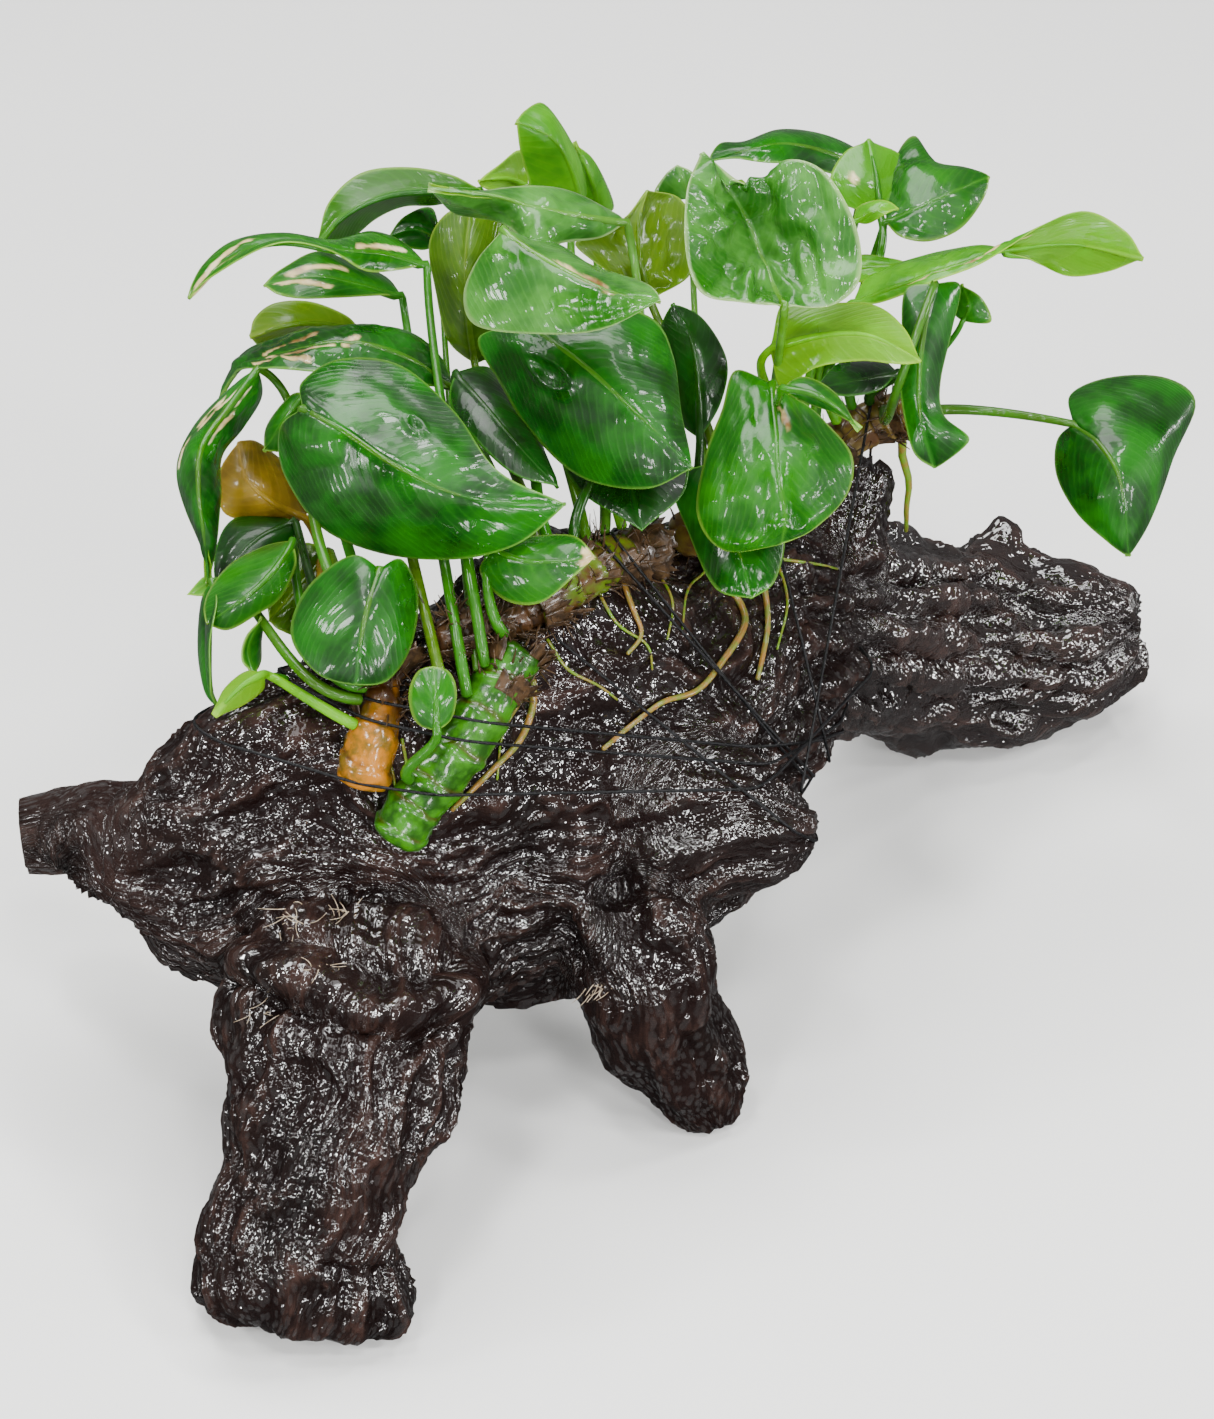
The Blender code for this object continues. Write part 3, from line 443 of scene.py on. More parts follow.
# The arm's sawn end: a spot on the cut, the way it faces, and how much of the arm's end, in mm, is drawn out to it
SAWN_AT, SAWN_FACING, SAWN_DEPTH = seen(-116.4, -24.7, 18), turned(-0.985, -0.134, 0.10), 6.0
# Ridges and, with a height below nothing, furrows that an onlooker sees: their course, width and height in mm
RIDGES = (
    (((-77, -47), (-70, -53), (-60, -55), (-50, -60), (-40, -61), (-30, -57), (-25, -50)), 3.0, 3.0),
    (((-74, -54), (-66, -59), (-56, -61), (-47, -65), (-38, -67), (-30, -63)), 2.2, -2.6),
    (((-66, -45), (-58, -47), (-48, -52), (-36, -54), (-27, -48)), 2.2, -1.8),
    (((-92, -22), (-80, -26), (-68, -33), (-60, -44)), 2.6, 1.2),
    (((-95, -34), (-82, -38), (-72, -46)), 2.4, -1.2),
    (((-34, -66), (-31, -78), (-36, -92), (-40, -104)), 3.2, -1.6),
    (((-28, -58), (-27, -68), (-32, -82), (-38, -96)), 2.6, 1.4),
    (((-72, -70), (-66, -66), (-58, -70), (-50, -78), (-45, -88)), 2.2, 1.2),
    (((40, 24), (52, 27), (66, 26), (80, 27), (94, 24)), 1.7, -2.2),
    (((38, 17), (50, 20), (64, 18), (78, 20), (92, 18), (102, 16)), 1.8, -2.4),
    (((40, 9), (52, 12), (66, 9), (80, 12), (94, 10)), 1.8, -2.4),
    (((42, 1), (55, 4), (68, 1), (82, 4), (96, 3)), 1.8, -2.4),
    (((52, -4), (66, -5), (80, -2), (92, -3)), 1.7, -2.0),
    (((44, 21), (58, 23), (72, 22), (86, 24)), 1.6, 1.2), (((44, 5), (58, 7), (72, 5), (88, 7)), 1.6, 1.3),
    (((46, 13), (60, 15), (74, 14), (88, 15)), 1.6, 1.3),
    (((10, -30), (20, -27), (30, -25), (38, -24)), 2.0, 1.2), (((12, -37), (22, -33), (30, -30)), 2.0, -1.2),
    (((0, -36), (6, -48), (12, -60), (20, -74)), 2.4, -1.2), (((12, -40), (16, -52), (22, -64)), 2.4, 1.2),
    (((-20, -8), (-14, -20), (-18, -34), (-24, -46)), 2.6, -1.4),
    (((-6, -6), (-2, -18), (-6, -32), (-4, -46)), 2.4, 1.2),
)


def node_mesh(names):
    """The points, in millimetres, and faces of some of the frame's solids."""
    verts, faces = [], []
    for name in names:
        mesh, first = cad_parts[name].data, len(verts)
        verts += [v.co / MM for v in mesh.vertices]
        faces += [[first + k for k in face.vertices] for face in mesh.polygons]
    return verts, faces


wood_solids = BVHTree.FromPolygons(*node_mesh(WOOD_NODES))


def limb_shares(points):
    """For each point, how much it belongs to each limb and its place there: along, and round as two numbers."""
    shares, places = [], []
    for limb in LIMBS:
        spots, half = [s[0] for s in limb.stations], [Vector((s[1], s[2], 0.0)) for s in limb.stations]
        steps = np.linspace(0.0, 1.0, LIMB_SAMPLES)
        axis = np.array([tuple(through(spots, t)) for t in steps])
        half = np.array([tuple(through(half, t)) for t in steps])[:, :2]
        along = unit(np.gradient(axis, axis=0))
        side = unit(np.cross(np.array(NEAR), along))
        front = np.cross(along, side)
        far = np.concatenate(([0.0], np.cumsum(np.linalg.norm(np.diff(axis, axis=0), axis=1))))
        nearest = np.argmin(((points[:, None, :] - axis[None, :, :]) ** 2).sum(2), axis=1)
        off = points - axis[nearest]
        x = (off * side[nearest]).sum(1) / half[nearest, 0]
        y = (off * front[nearest]).sum(1) / half[nearest, 1]
        z = (off * along[nearest]).sum(1)
        size, ring = half.mean(), np.hypot(x, y) + 1e-6
        places.append(np.stack((far[nearest] + z, x / ring * size, y / ring * size), 1))
        shares.append((np.sqrt(x * x + y * y + (z / size) ** 2) + 1e-6) ** -FORK_SHARPNESS)
    shares = np.stack(shares, 1)
    return shares / shares.sum(1)[:, None], np.stack(places, 1)


def smoothed(points, edges):
    """Points drawn towards their neighbours' middle."""
    count = np.bincount(edges.ravel(), minlength=len(points))[:, None]
    for _ in range(SMOOTHING_ROUNDS):
        total = np.stack([
            np.bincount(edges[:, 0], points[edges[:, 1], axis], len(points))
            + np.bincount(edges[:, 1], points[edges[:, 0], axis], len(points)) for axis in range(3)], 1)
        points = (points + total / count) / 2
    return points


def outward_normals(points, faces):
    """A unit normal for each point of a quad mesh."""
    across = np.cross(points[faces[:, 2]] - points[faces[:, 0]], points[faces[:, 3]] - points[faces[:, 1]])
    return unit(np.stack([sum(np.bincount(faces[:, k], across[:, axis], len(points)) for k in range(4))
                          for axis in range(3)], 1))


def ridge_heights(points, normals):
    """How far the drawn ridges and furrows lift the skin where it faces the onlooker."""
    off = points - np.array(AIM)
    grow = EYE_DISTANCE / (EYE_DISTANCE - off @ np.array(NEAR))
    flat = np.stack((off @ np.array(RIGHT) * grow, off @ np.array(UP) * grow), 1)
    flat += 1.2 * noises(points / 8.0, 70, 2, 2)
    total = np.zeros(len(points))
    for course, width, height in RIDGES:
        line = [Vector((*spot, 0.0)) for spot in course]
        line = np.array([tuple(through(line, k / RIDGE_STEPS))[:2] for k in range(RIDGE_STEPS + 1)])
        apart = np.full(len(points), np.inf)
        for a, b in zip(line, line[1:]):
            run = b - a
            along = np.clip(((flat - a) @ run) / (run @ run), 0.0, 1.0)
            apart = np.minimum(apart, ((flat - a - along[:, None] * run) ** 2).sum(1))
        total += height * np.exp(-apart / width ** 2)
    return total * ease(normals @ np.array(NEAR), 0.0, 0.35)


def sawn_off(points):
    """Draws the arm's round end out to the plane of the cut, so that it ends flat with a tight edge."""
    off = points - np.array(SAWN_AT)
    past = off @ np.array(SAWN_FACING)
    drawn = np.minimum(past + np.maximum(past + SAWN_DEPTH, 0.0) * 2.0, 0.0)
    close = (off ** 2).sum(1) < (2.5 * SAWN_DEPTH) ** 2
    return points + np.array(SAWN_FACING) * (close * (drawn - past))[:, None]


def wood_relief(points, furrow_depth):
    """The height over the smooth limb, the marks that the finish reads, and each point's nearest limb."""
    shares, places = limb_shares(points)
    height, relief = np.zeros(len(points)), np.zeros(len(points))
    # the grain drifts to both sides, in sweeps 26 mm long
    drift = np.pad(5.0 * noises(points / 26.0, 40, 2), ((0, 0), (1, 0)))
    for k, limb in enumerate(LIMBS):
        lie = places[:, k] + drift
        furrow = 1.0 - np.abs(layered(lie / FURROW_GAPS, 5 + k, 3)) * 1.9
        strands = 1.0 - np.abs(layered(lie / STRAND_GAPS, 60 + k, 2)) * 1.6
        height += shares[:, k] * limb.rough * (furrow_depth * (furrow - 0.45) + STRAND_DEPTH * (strands - 0.4))
        # the relief mark holds the furrows' and strands' height, which the finish uses to paint shade into the
        # furrows
        relief += shares[:, k] * (0.62 * furrow + 0.38 * strands)
    rough, pale, sleek = (shares @ [getattr(limb, trait) for limb in LIMBS] for trait in ("rough", "light", "sleek"))
    # lumps 17 mm apart and knots 3.4 mm apart
    height += rough * (0.9 * layered(points / 17.0, 90, 2) + 0.35 * layered(points / 3.4, 95, 2))
    # the mark along the grain is shortened, so that fibres come out long
    grain = (shares[:, :, None] * places).sum(1) * (0.13, 1.0, 1.0) + 0.8 * drift
    marks = {"grain": grain, "relief": np.clip(relief, 0.0, 1.0), "pale": pale, "sleek": sleek}
    return height, marks, np.argmax(shares, 1)


class WoodSettings(bpy.types.PropertyGroup):
    grid: bpy.props.FloatProperty(name="Surface grid", description="Spacing of the wood's surface points",
                                  default=0.00105, min=0.0004, unit="LENGTH", precision=5)
    furrow_depth: bpy.props.FloatProperty(name="Furrow depth", description="Depth of the furrows along the grain",
                                          default=0.0013, unit="LENGTH", precision=5)
    fullness: bpy.props.FloatProperty(name="Fullness", description="How far the rounded skin stands over the solids",
                                      default=0.0006, unit="LENGTH", precision=5)


class AQUA_OT_driftwood(bpy.types.Operator):
    """Rounds the driftwood's limbs into one piece and cuts the furrows and fibres of its grain"""

    bl_idname = "aqua.driftwood"
    bl_label = "Driftwood"

    def execute(self, context):
        settings = context.scene.aqua_wood
        points, edges, faces = self.core(context, settings.grid)
        points = smoothed(points, edges)
        for centre, reach, shift in PUSHES:
            off = ((points - np.array(centre)) ** 2).sum(1)
            points = points + np.exp(-off / reach ** 2)[:, None] * np.array(shift)
        normals = outward_normals(points, faces)
        points = points + normals * ridge_heights(points, normals)[:, None]
        height, marks, limb = wood_relief(points, settings.furrow_depth / MM)
        points = points + outward_normals(points, faces) * (height + settings.fullness / MM)[:, None]
        points = sawn_off(points)
        points[:, 2] = np.maximum(points[:, 2], 0.0)
        wood.update(points=points, limb=limb, skin=BVHTree.FromPolygons(points.tolist(), faces.tolist()))
        finish = driftwood_finish("bogwood_wet", "#030202", "#0f0a08", "#3c2a24")
        make_piece("driftwood", points, faces.tolist(), finish, WOOD_NODES, marks)
        return {"FINISHED"}

    def core(self, context, grid):
        """Points, edges and quads of the solids joined into one even skin."""
        mesh = bpy.data.meshes.new("driftwood_core")
        verts, faces = node_mesh(WOOD_NODES)
        mesh.from_pydata([v * MM for v in verts], [], faces)
        core = bpy.data.objects.new("driftwood_core", mesh)
        context.collection.objects.link(core)
        core.modifiers.new("Weld", "WELD").merge_threshold = CORE_WELD * MM
        swell = core.modifiers.new("Swell", "DISPLACE")
        swell.strength, swell.mid_level = CORE_SWELL * MM, 0.0
        skin = core.modifiers.new("Skin", "REMESH")
        skin.mode, skin.voxel_size, skin.adaptivity = "VOXEL", grid, 0.0
        made = bpy.data.meshes.new_from_object(core.evaluated_get(context.evaluated_depsgraph_get()))
        points, edges = np.zeros(len(made.vertices) * 3), np.zeros(len(made.edges) * 2, np.int32)
        made.vertices.foreach_get("co", points)
        made.edges.foreach_get("vertices", edges)
        faces = np.array([tuple(face.vertices) for face in made.polygons])
        bpy.data.objects.remove(core)
        return points.reshape(-1, 3) / MM, edges.reshape(-1, 2), faces


# The dressed wood, which the pieces on it are laid against
wood = {}

# Rhizomes

# Each stem's course, as an onlooker sees it, and its radius in mm; a place with no depth lies on the wood
RHIZOME_COURSES = {
    "rhizome_front": (((-43, -26), (-38, -18), (-31, -9), (-24, 1), (-18.5, 12)), 4.9),
    "rhizome_ridge": (((-15, 20), (-9, 24), (-1, 28), (7, 31)), 4.6),
    "rhizome_right": (((14, 33), (25, 41, 20), (37, 47, 9), (52, 57, 1), (64, 60, 4)), 4.4),
    "rhizome_link": (((-35, 13), (-27, 16), (-19, 18), (-12, 21)), 3.4),
    "rhizome_old": (((-49, -15), (-47, -8), (-45, -1), (-44, 6), (-42, 12, 62)), 4.3),
}
# How deep the stems sit in the wood, the gap between their rings, and the points in a ring
SINK, RING_GAP, RING_SIDES = 0.8, 0.45, 32
# A joint's swollen lip and the groove of its leaf scar: place along the joint, width, and height over the radius
LIP, SCAR_GROOVE = (0.5, 0.16, 0.075), (0.68, 0.055, -0.05)
# The length over which a stem's end rounds off, in mm, and how thick it ends
END_ROUND, END_SIZE = 2.2, 0.65


def on_wood(right, up, height):
    """The point at a height over the solid wood where an onlooker sees its surface this far right and up."""
    return lifted(*met(wood_solids, right, up), height)


rhizomes = {name: ([seen(*spot) if len(spot) == 3 else on_wood(*spot, radius - SINK) for spot in course], radius)
            for name, (course, radius) in RHIZOME_COURSES.items()}


class RhizomeSettings(bpy.types.PropertyGroup):
    internode: bpy.props.FloatProperty(name="Internode", description="Distance from one leaf scar to the next",
                                       default=0.0065, unit="LENGTH", precision=4)
    green: bpy.props.StringProperty(name="Green", description="sRGB hex colour of the living stem",
                                    default="#2e6e00")
    bark: bpy.props.StringProperty(name="Bark", description="sRGB hex colour of the corky stem", default="#4a3018")
    orange: bpy.props.StringProperty(name="Old stub", description="sRGB hex colour of the old stub",
                                     default="#a8680c")


def rhizome_skin(name, internode):
    """Rings of a creeping stem with its leaf scars, and marks for the scar lines."""
    path, radius = rhizomes[name]
    length = run_length(path)
    count = int(length / RING_GAP)
    seed = sum(map(ord, name))
    rings, marks = [], []
    for i in range(count + 1):
        share = i / count
        place, along = through(path, share), heading(path, share)
        side = NEAR.cross(along).normalized()
        front = along.cross(side)
        end = min(share, 1.0 - share) * length
        cap = END_SIZE + (1.0 - END_SIZE) * math.sqrt(1.0 - max(0.0, 1.0 - end / END_ROUND) ** 2)
        # the old stub ends in a bare orange bulb and is brown above it
        old = min(max(share * 4.0 - 1.2, 0.0), 1.0) if name == "rhizome_old" else 0.0
        bulb = 1.12 - 0.3 * old if name == "rhizome_old" else 1.0
        for k in range(RING_SIDES):
            angle = math.tau * k / RING_SIDES
            slope = 0.9 * math.sin(angle + seed) + 0.35 * math.sin(3 * angle + seed)
            phase = (share * length + slope) / internode % 1.0
            lip, line = (math.exp(-((phase - at) / wide) ** 2) for at, wide, _ in (LIP, SCAR_GROOVE))
            swell = radius * cap * bulb * (1.0 + LIP[2] * lip + SCAR_GROOVE[2] * line)
            rings.append(place + (side * math.cos(angle) + front * math.sin(angle)) * swell)
            marks.append(max(line, old))
    points = np.array([tuple(p) for p in rings])
    marks = np.array(marks) * ease(layered(points / 2.5, seed, 2), -0.5, 0.2)
    points += 0.45 * noises(points / 5.0, seed)
    return points, ring_faces(count + 1, RING_SIDES), marks


class AQUA_OT_rhizomes(bpy.types.Operator):
    """Creeping stems ringed by leaf scars, with the orange stub of an old one"""

    bl_idname = "aqua.rhizomes"
    bl_label = "Rhizomes"

    def execute(self, context):
        settings = context.scene.aqua_rhizome
        looks = {
            "rhizome_front": ("rhizome_green", settings.green, "#143e00", "#3c3a0c", 0.5),
            "rhizome_ridge": ("rhizome_bark", "#4a6408", settings.bark, "#2a1a10", 0.3),
            "rhizome_right": ("rhizome_corky", settings.bark, "#6a5a24", "#22140d", 0.3),
            "rhizome_link": ("rhizome_dark", settings.bark, "#24180c", "#181008", 0.3),
            "rhizome_old": ("rhizome_stub", settings.orange, "#5e4a0c", "#3a2008", 0.5),
        }
        for name, look in looks.items():
            verts, faces, marks = rhizome_skin(name, settings.internode / MM)
            nodes = (name,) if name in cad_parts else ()
            make_piece(name + "_skin", verts, faces, stem_finish(*look), nodes, {"mark": marks})
        return {"FINISHED"}


# Leaves

# Stalks: radius and step in mm, points in a ring; the length of blade below which a stalk is thinner
STALK_RADIUS, STALK_STEP, STALK_SIDES, SMALL_LEAF = 1.1, 1.2, 10, 12.0
# The height and width of a blade's waves, and how far each half swells for its width
WAVE_HEIGHT, WAVE_GAP, HALF_SWELL = 0.4, 14.0, 0.06
# How deep the scars lie and how ragged their edges are, and the height of a pit's rim and its depth, in mm
SCAR_DEPTH, SCAR_RAG, PIT_RIM, PIT_DEPTH = 0.12, 0.5, 0.8, 1.2

# Each leaf's colour, the points that lead its stalk from the rhizome, and the courses of its midrib from base to
# tip and of its left and right margins between them, all as an onlooker sees them
Leaf = namedtuple("Leaf", "name tone stalk middle left right")
LEAVES = (
    Leaf("leaf_big_left", "deep", ((-16, 25.5, 59.5), (-24.5, 45, 68.5), (-63.5, 56.5, 49)),
         ((-61, 60.3, 66), (-52.4, 55.5, 71), (-41.4, 48.3, 74), (-27.4, 42.3, 75), (-7.8, 41.1, 72)),
         ((-61, 65.9, 62), (-53.4, 70.3, 60), (-41.4, 68.7, 60), (-30.4, 59.5, 66), (-21.4, 47.5, 72)),
         ((-65.2, 56.3, 60), (-64.2, 46.3, 58), (-55.4, 34.9, 60), (-37.4, 29.9, 64), (-19.4, 32.3, 70))),
    Leaf("leaf_big_centre", "deep", ((-4, 33, 52), (-6.5, 48, 49.5), (-14.5, 67.5, 28)),
         ((-15.4, 76.9, 50), (-5.4, 69.5, 56), (3.6, 61.5, 60), (11.6, 53.9, 63), (17.2, 48.3, 64)),
         ((-3.4, 80.3, 46), (8.6, 78.3, 46), (13.4, 70.7, 50), (15, 59.5, 56)),
         ((-25.8, 74.3, 44), (-21.4, 64.9, 46), (-15.8, 55.9, 48), (-5.4, 46.5, 54), (7.6, 44.1, 60))),
    Leaf("leaf_folded_centre", "sheen", ((-0.5, 35.5, 45), (2, 60, 30), (-22, 90, 32)),
         ((-20.8, 96.1, 63), (-12.4, 90.5, 69), (-3.4, 85.7, 72), (3.6, 83.1, 73), (11, 81.9, 72)),
         ((-16.4, 94.7, 56), (-9.4, 93.3, 56), (-3.4, 89.5, 58), (3.6, 87.1, 62), (8.6, 85.3, 68)),
         ((-25.8, 90.3, 62), (-28.6, 82.9, 62), (-26.4, 76.9, 64), (-15.4, 75.1, 68), (-1.4, 75.9, 72))),
    Leaf("leaf_folded_top", "sheen", ((6, 37, 41), (7.5, 61, 47), (8, 79, 27)),
         ((4, 97.5, 39), (-4.4, 98.9, 43), (-13.4, 100.7, 46), (-23.4, 102.7, 47), (-36, 104.5, 46)),
         ((-1.4, 94.3, 40), (-8.4, 93.3, 44), (-14.4, 91.9, 50), (-21.4, 97.5, 40), (-30.4, 99.5, 36)),
         ((-0.4, 100.7, 36), (-9.4, 104.1, 38), (-18.4, 104.7, 42), (-27.4, 103.9, 44))),
    Leaf("leaf_tall_top", "bright", ((7.5, 37.5, 38), (4.5, 68, 43.5), (-13, 87.5, -19.5)),
         ((-5, 100.9, 4), (-6.4, 106.9, 12), (-10.2, 113.9, 18), (-18.2, 117.7, 20)),
         ((-14.4, 100.9, 6), (-15.8, 105.9, 12), (-17.4, 111.9, 16)),
         ((-4.4, 103.9, 0), (-5.8, 110.9, 4), (-9, 117.5, 8), (-12.8, 121.5, 12), (-16.4, 119.9, 16))),
    Leaf("leaf_bright_top", "bright", ((17.5, 41.5, 28.5), (10.5, 68.5, 38.5), (-6, 83.5, -26)),
         ((-1.4, 98.9, -6), (-2.2, 103.9, 0), (-4.2, 108.9, 3), (-6.8, 113.5, 4)),
         ((-5.4, 100.9, -4), (-5.4, 106.9, 0)),
         ((1.4, 100.3, -10), (-0.2, 105.5, -6), (-3, 110.7, 0))),
    Leaf("leaf_light_back", "underside", ((3, 36.5, 43.5), (-7.5, 75.5, 49.5), (-11, 83.5, -37.5)),
         ((-15.8, 103.9, -12), (-20.4, 105.9, -8), (-26.2, 105.5, -3)),
         ((-15.8, 109.9, -14), (-17.8, 111.9, -10), (-21.8, 108.7, -6)),
         ((-19.4, 102.9, -8), (-23.4, 103.9, -4))),
    Leaf("leaf_arch_left", "arch", ((-10.5, 30, 56), (-21.5, 59, 60), (-5, 72, 4.5)),
         ((-25.4, 103.9, 8), (-35.4, 103.9, 12), (-44.4, 102.9, 15), (-52.4, 98.9, 16), (-58, 92.9, 14)),
         ((-31.4, 107.1, 10), (-40.4, 108.5, 12), (-49.4, 107.3, 14), (-55.8, 101.3, 15)),
         ((-33.4, 100.9, 2), (-40.4, 100.9, 0), (-46.4, 97.9, 2), (-52.4, 93.3, 8))),
    Leaf("leaf_far_left", "fresh", ((-24.5, 9, 64.5), (-28, 33.5, 74), (-36, 71.5, 26)),
         ((-36, 89.1, 28), (-44.4, 91.5, 34), (-53.4, 92.3, 38), (-65.4, 93.9, 40), (-75.4, 90.7, 38),
          (-84.4, 82.3, 32)),
         ((-41.4, 87.9, 32), (-48.4, 87.7, 36), (-55.4, 91.7, 42), (-64.4, 93.3, 44), (-73.4, 89.9, 42),
          (-79.8, 85.9, 36)),
         ((-40.4, 93.3, 24), (-47, 95.7, 24), (-54.4, 93.7, 30), (-64.4, 95.3, 34), (-74.4, 93.7, 34),
          (-80.8, 88.7, 33))),
    Leaf("leaf_low_left", "fresh", ((-28, 3, 66), (-32.5, 28, 76.5), (-38.5, 66, 0.5)),
         ((-41, 82.9, 10), (-49.4, 85.3, 15), (-58.4, 86.9, 19), (-69, 85.1, 18)),
         ((-46.4, 82.7, 14), (-54.4, 82.3, 20), (-61.4, 82.1, 22), (-65.8, 82.9, 20)),
         ((-44.4, 86.3, 6), (-51.4, 89.5, 8), (-57.8, 91.5, 12), (-64.4, 88.3, 16))),
    Leaf("leaf_under_left", "olive", ((-31.5, -1, 66.5), (-38, 25.5, 79.5), (-46.5, 63.5, 11.5)),
         ((-49.4, 75.9, 20), (-57.4, 77.5, 25), (-64.4, 76.9, 29), (-71.4, 74.7, 28)),
         ((-52.4, 78.9, 22), (-59.4, 81.5, 25), (-66.4, 81.1, 27), (-70.4, 78.3, 28)),
         ((-54.4, 74.3, 16), (-61.4, 72.9, 18), (-66.4, 72.3, 22), (-69.8, 72.9, 26))),
    Leaf("leaf_arch_mid_left", "deep", ((-13, 28, 57.5), (-21, 43.5, 60.5), (-23.5, 48, 24.5)),
         ((-30.4, 64.3, 34), (-41.4, 71.5, 42), (-53.4, 73.9, 45), (-65.4, 71.5, 42), (-73.4, 68.7, 36),
          (-78.2, 62.3, 25)),
         ((-37.4, 64.9, 40), (-49.4, 67.5, 46), (-59.4, 67.5, 48), (-67.4, 67.9, 46), (-73.8, 67.5, 36)),
         ((-34.4, 71.5, 30), (-42.4, 76.5, 32), (-54.4, 76.7, 34), (-64.4, 74.9, 34), (-73.4, 70.5, 30))),
    Leaf("leaf_hanging_left", "deep", ((-46, 14.5, 65), (-65, 27.5, 78.5), (-56, 62, 26.5)),
         ((-69.8, 68.3, 43), (-75.8, 60.3, 50), (-81, 52.9, 55), (-81.8, 43.9, 57), (-80.6, 33.9, 54),
          (-79.8, 24.9, 50)),
         ((-69, 62.9, 40), (-72.8, 56.3, 44), (-77, 50.3, 48), (-77, 41.9, 50), (-77.8, 32.9, 50)),
         ((-75.8, 64.3, 42), (-83, 56.3, 46), (-85.8, 48.9, 48), (-84.2, 39.9, 50), (-80.8, 30.9, 50))),
    Leaf("leaf_old_yellow", "old", ((-48, 11, 65.5), (-63, 19.5, 73.5), (-53.5, 30, 25)),
         ((-60.4, 38.3, 36), (-67.4, 41.9, 40), (-72.4, 46.9, 40), (-73.8, 53.9, 34)),
         ((-64.4, 36.3, 34), (-71.4, 37.5, 36), (-77, 39.9, 38), (-77.4, 47.9, 36)),
         ((-59, 41.9, 32), (-61.8, 46.9, 32), (-66.4, 50.9, 32), (-70.4, 53.7, 32))),
    Leaf("leaf_lower_left", "fresh", ((-48.5, 4.5, 68), (-61.5, 4, 75), (-62.5, 29, 38)),
         ((-62.8, 33.9, 54), (-67.8, 26.9, 60), (-73.4, 21.9, 63), (-80.4, 17.1, 60)),
         ((-62, 28.9, 56), (-65, 22.3, 58), (-69.8, 18.9, 60), (-75.8, 15.7, 60)),
         ((-68.4, 32.9, 50), (-75, 29.5, 52), (-79, 24.9, 55), (-80.8, 20.7, 58))),
    Leaf("leaf_edge_hanging", "deep", ((-49.5, 2, 67.5), (-65.5, 3, 77.5), (-68.5, 24.5, 44.5)),
         ((-79, 25.9, 52), (-80.2, 19.9, 54), (-80.4, 11.9, 56), (-80, 4.9, 57), (-78.6, 0.3, 57)),
         ((-78.2, 21.9, 60), (-79, 13.9, 62), (-79, 5.9, 60)),
         ((-81, 21.9, 48), (-81.4, 13.9, 48), (-80.8, 5.9, 52))),
    Leaf("leaf_round", "deep", ((-45, 12.5, 66.5), (-48, 15, 74.5), (-42.5, 28, 67.5)),
         ((-45.4, 28.3, 70), (-47.8, 20.9, 75), (-49.4, 12.9, 76), (-50.2, 4.7, 74)),
         ((-41, 29.9, 68), (-37.8, 22.9, 66), (-39, 12.9, 68), (-43.8, 5.9, 72)),
         ((-51.4, 30.7, 68), (-59.8, 24.3, 66), (-63, 14.9, 68), (-57.8, 7.1, 72))),
    Leaf("leaf_folded_low", "underside", ((-50.5, -3, 68.5), (-58, 0.5, 74), (-66.5, 7, 56.5)),
         ((-68.6, 7.1, 63), (-73.4, 4.3, 66), (-78.6, -1.3, 66)),
         ((-72.4, 7.5, 62), (-76.6, 3.9, 64)),
         ((-69, 3.9, 62), (-73.4, 0.7, 64))),
    Leaf("leaf_bright_front", "fresh", ((-20.5, 15, 63.5), (-24, 18.5, 68.5), (-25, 29, 61.5)),
         ((-23, 32.3, 66), (-16.4, 29.9, 71), (-9.4, 29.9, 74), (-2.2, 30.7, 73)),
         ((-20.4, 33.9, 64), (-13.4, 34.9, 66), (-6.4, 34.7, 70)),
         ((-25.4, 27.5, 64), (-20.4, 21.9, 66), (-13.4, 21.3, 70), (-6.4, 26.9, 74))),
    Leaf("leaf_tiny", "fresh", ((-39.5, -14, 68.5), (-43, -12, 72.5), (-33, -7.5, 72.5)),
         ((-34, -4.5, 76), (-34.2, 1.9, 77), (-34.8, 8.9, 74)),
         ((-38.2, -2.5, 74), (-39.6, 2.9, 74), (-38, 7.5, 74)),
         ((-31, -1.7, 74), (-30, 3.5, 74), (-31.4, 7.5, 74))),
    Leaf("leaf_wavy_underside", "olive", ((23, 45, 23.5), (20.5, 60, 29.5), (13, 70.5, 31)),
         ((8.6, 81.9, 26), (6.6, 88.9, 29), (6, 96.3, 30), (7.6, 103.9, 29)),
         ((16.6, 86.9, 22), (18.6, 94.9, 22), (14.6, 102.3, 24)),
         ((1.6, 86.7, 30), (-6.4, 92.9, 32), (-1.4, 95.5, 33), (4.2, 98.9, 31))),
    Leaf("leaf_crumpled", "sheen", ((31.5, 48.5, 17), (33.5, 64.5, 26.5), (34, 67, 41.5)),
         ((35.6, 80.9, 52), (31.6, 88.9, 42), (28.6, 96.9, 40), (24.2, 104.3, 44), (19, 111.7, 44)),
         ((26.6, 81.3, 54), (18.6, 83.5, 54), (15.4, 93.9, 54), (15.8, 103.9, 52)),
         ((44.6, 80.5, 52), (50.6, 85.9, 52), (49.8, 96.9, 50), (43.6, 107.5, 48), (35.6, 109.9, 46),
          (31.6, 104.3, 42), (26.2, 105.9, 45))),
    Leaf("leaf_back_arch", "deep", ((35, 51, 12), (31.5, 75, 24), (53, 89, -19)),
         ((50.6, 108.9, -6), (43.6, 111.9, 0), (35.6, 113.5, 5), (27.6, 112.3, 8), (20, 109.9, 6)),
         ((46.6, 106.9, -2), (38.6, 108.9, 4), (31.6, 109.5, 8), (25.6, 110.3, 8)),
         ((49.6, 112.3, -10), (42.6, 115.5, -6), (34.6, 116.3, -2), (27.6, 114.1, 2), (22.6, 113.7, 4))),
    Leaf("leaf_round_underside", "fresh", ((42, 55, 8), (39, 69, 18), (59, 86.5, 19.5)),
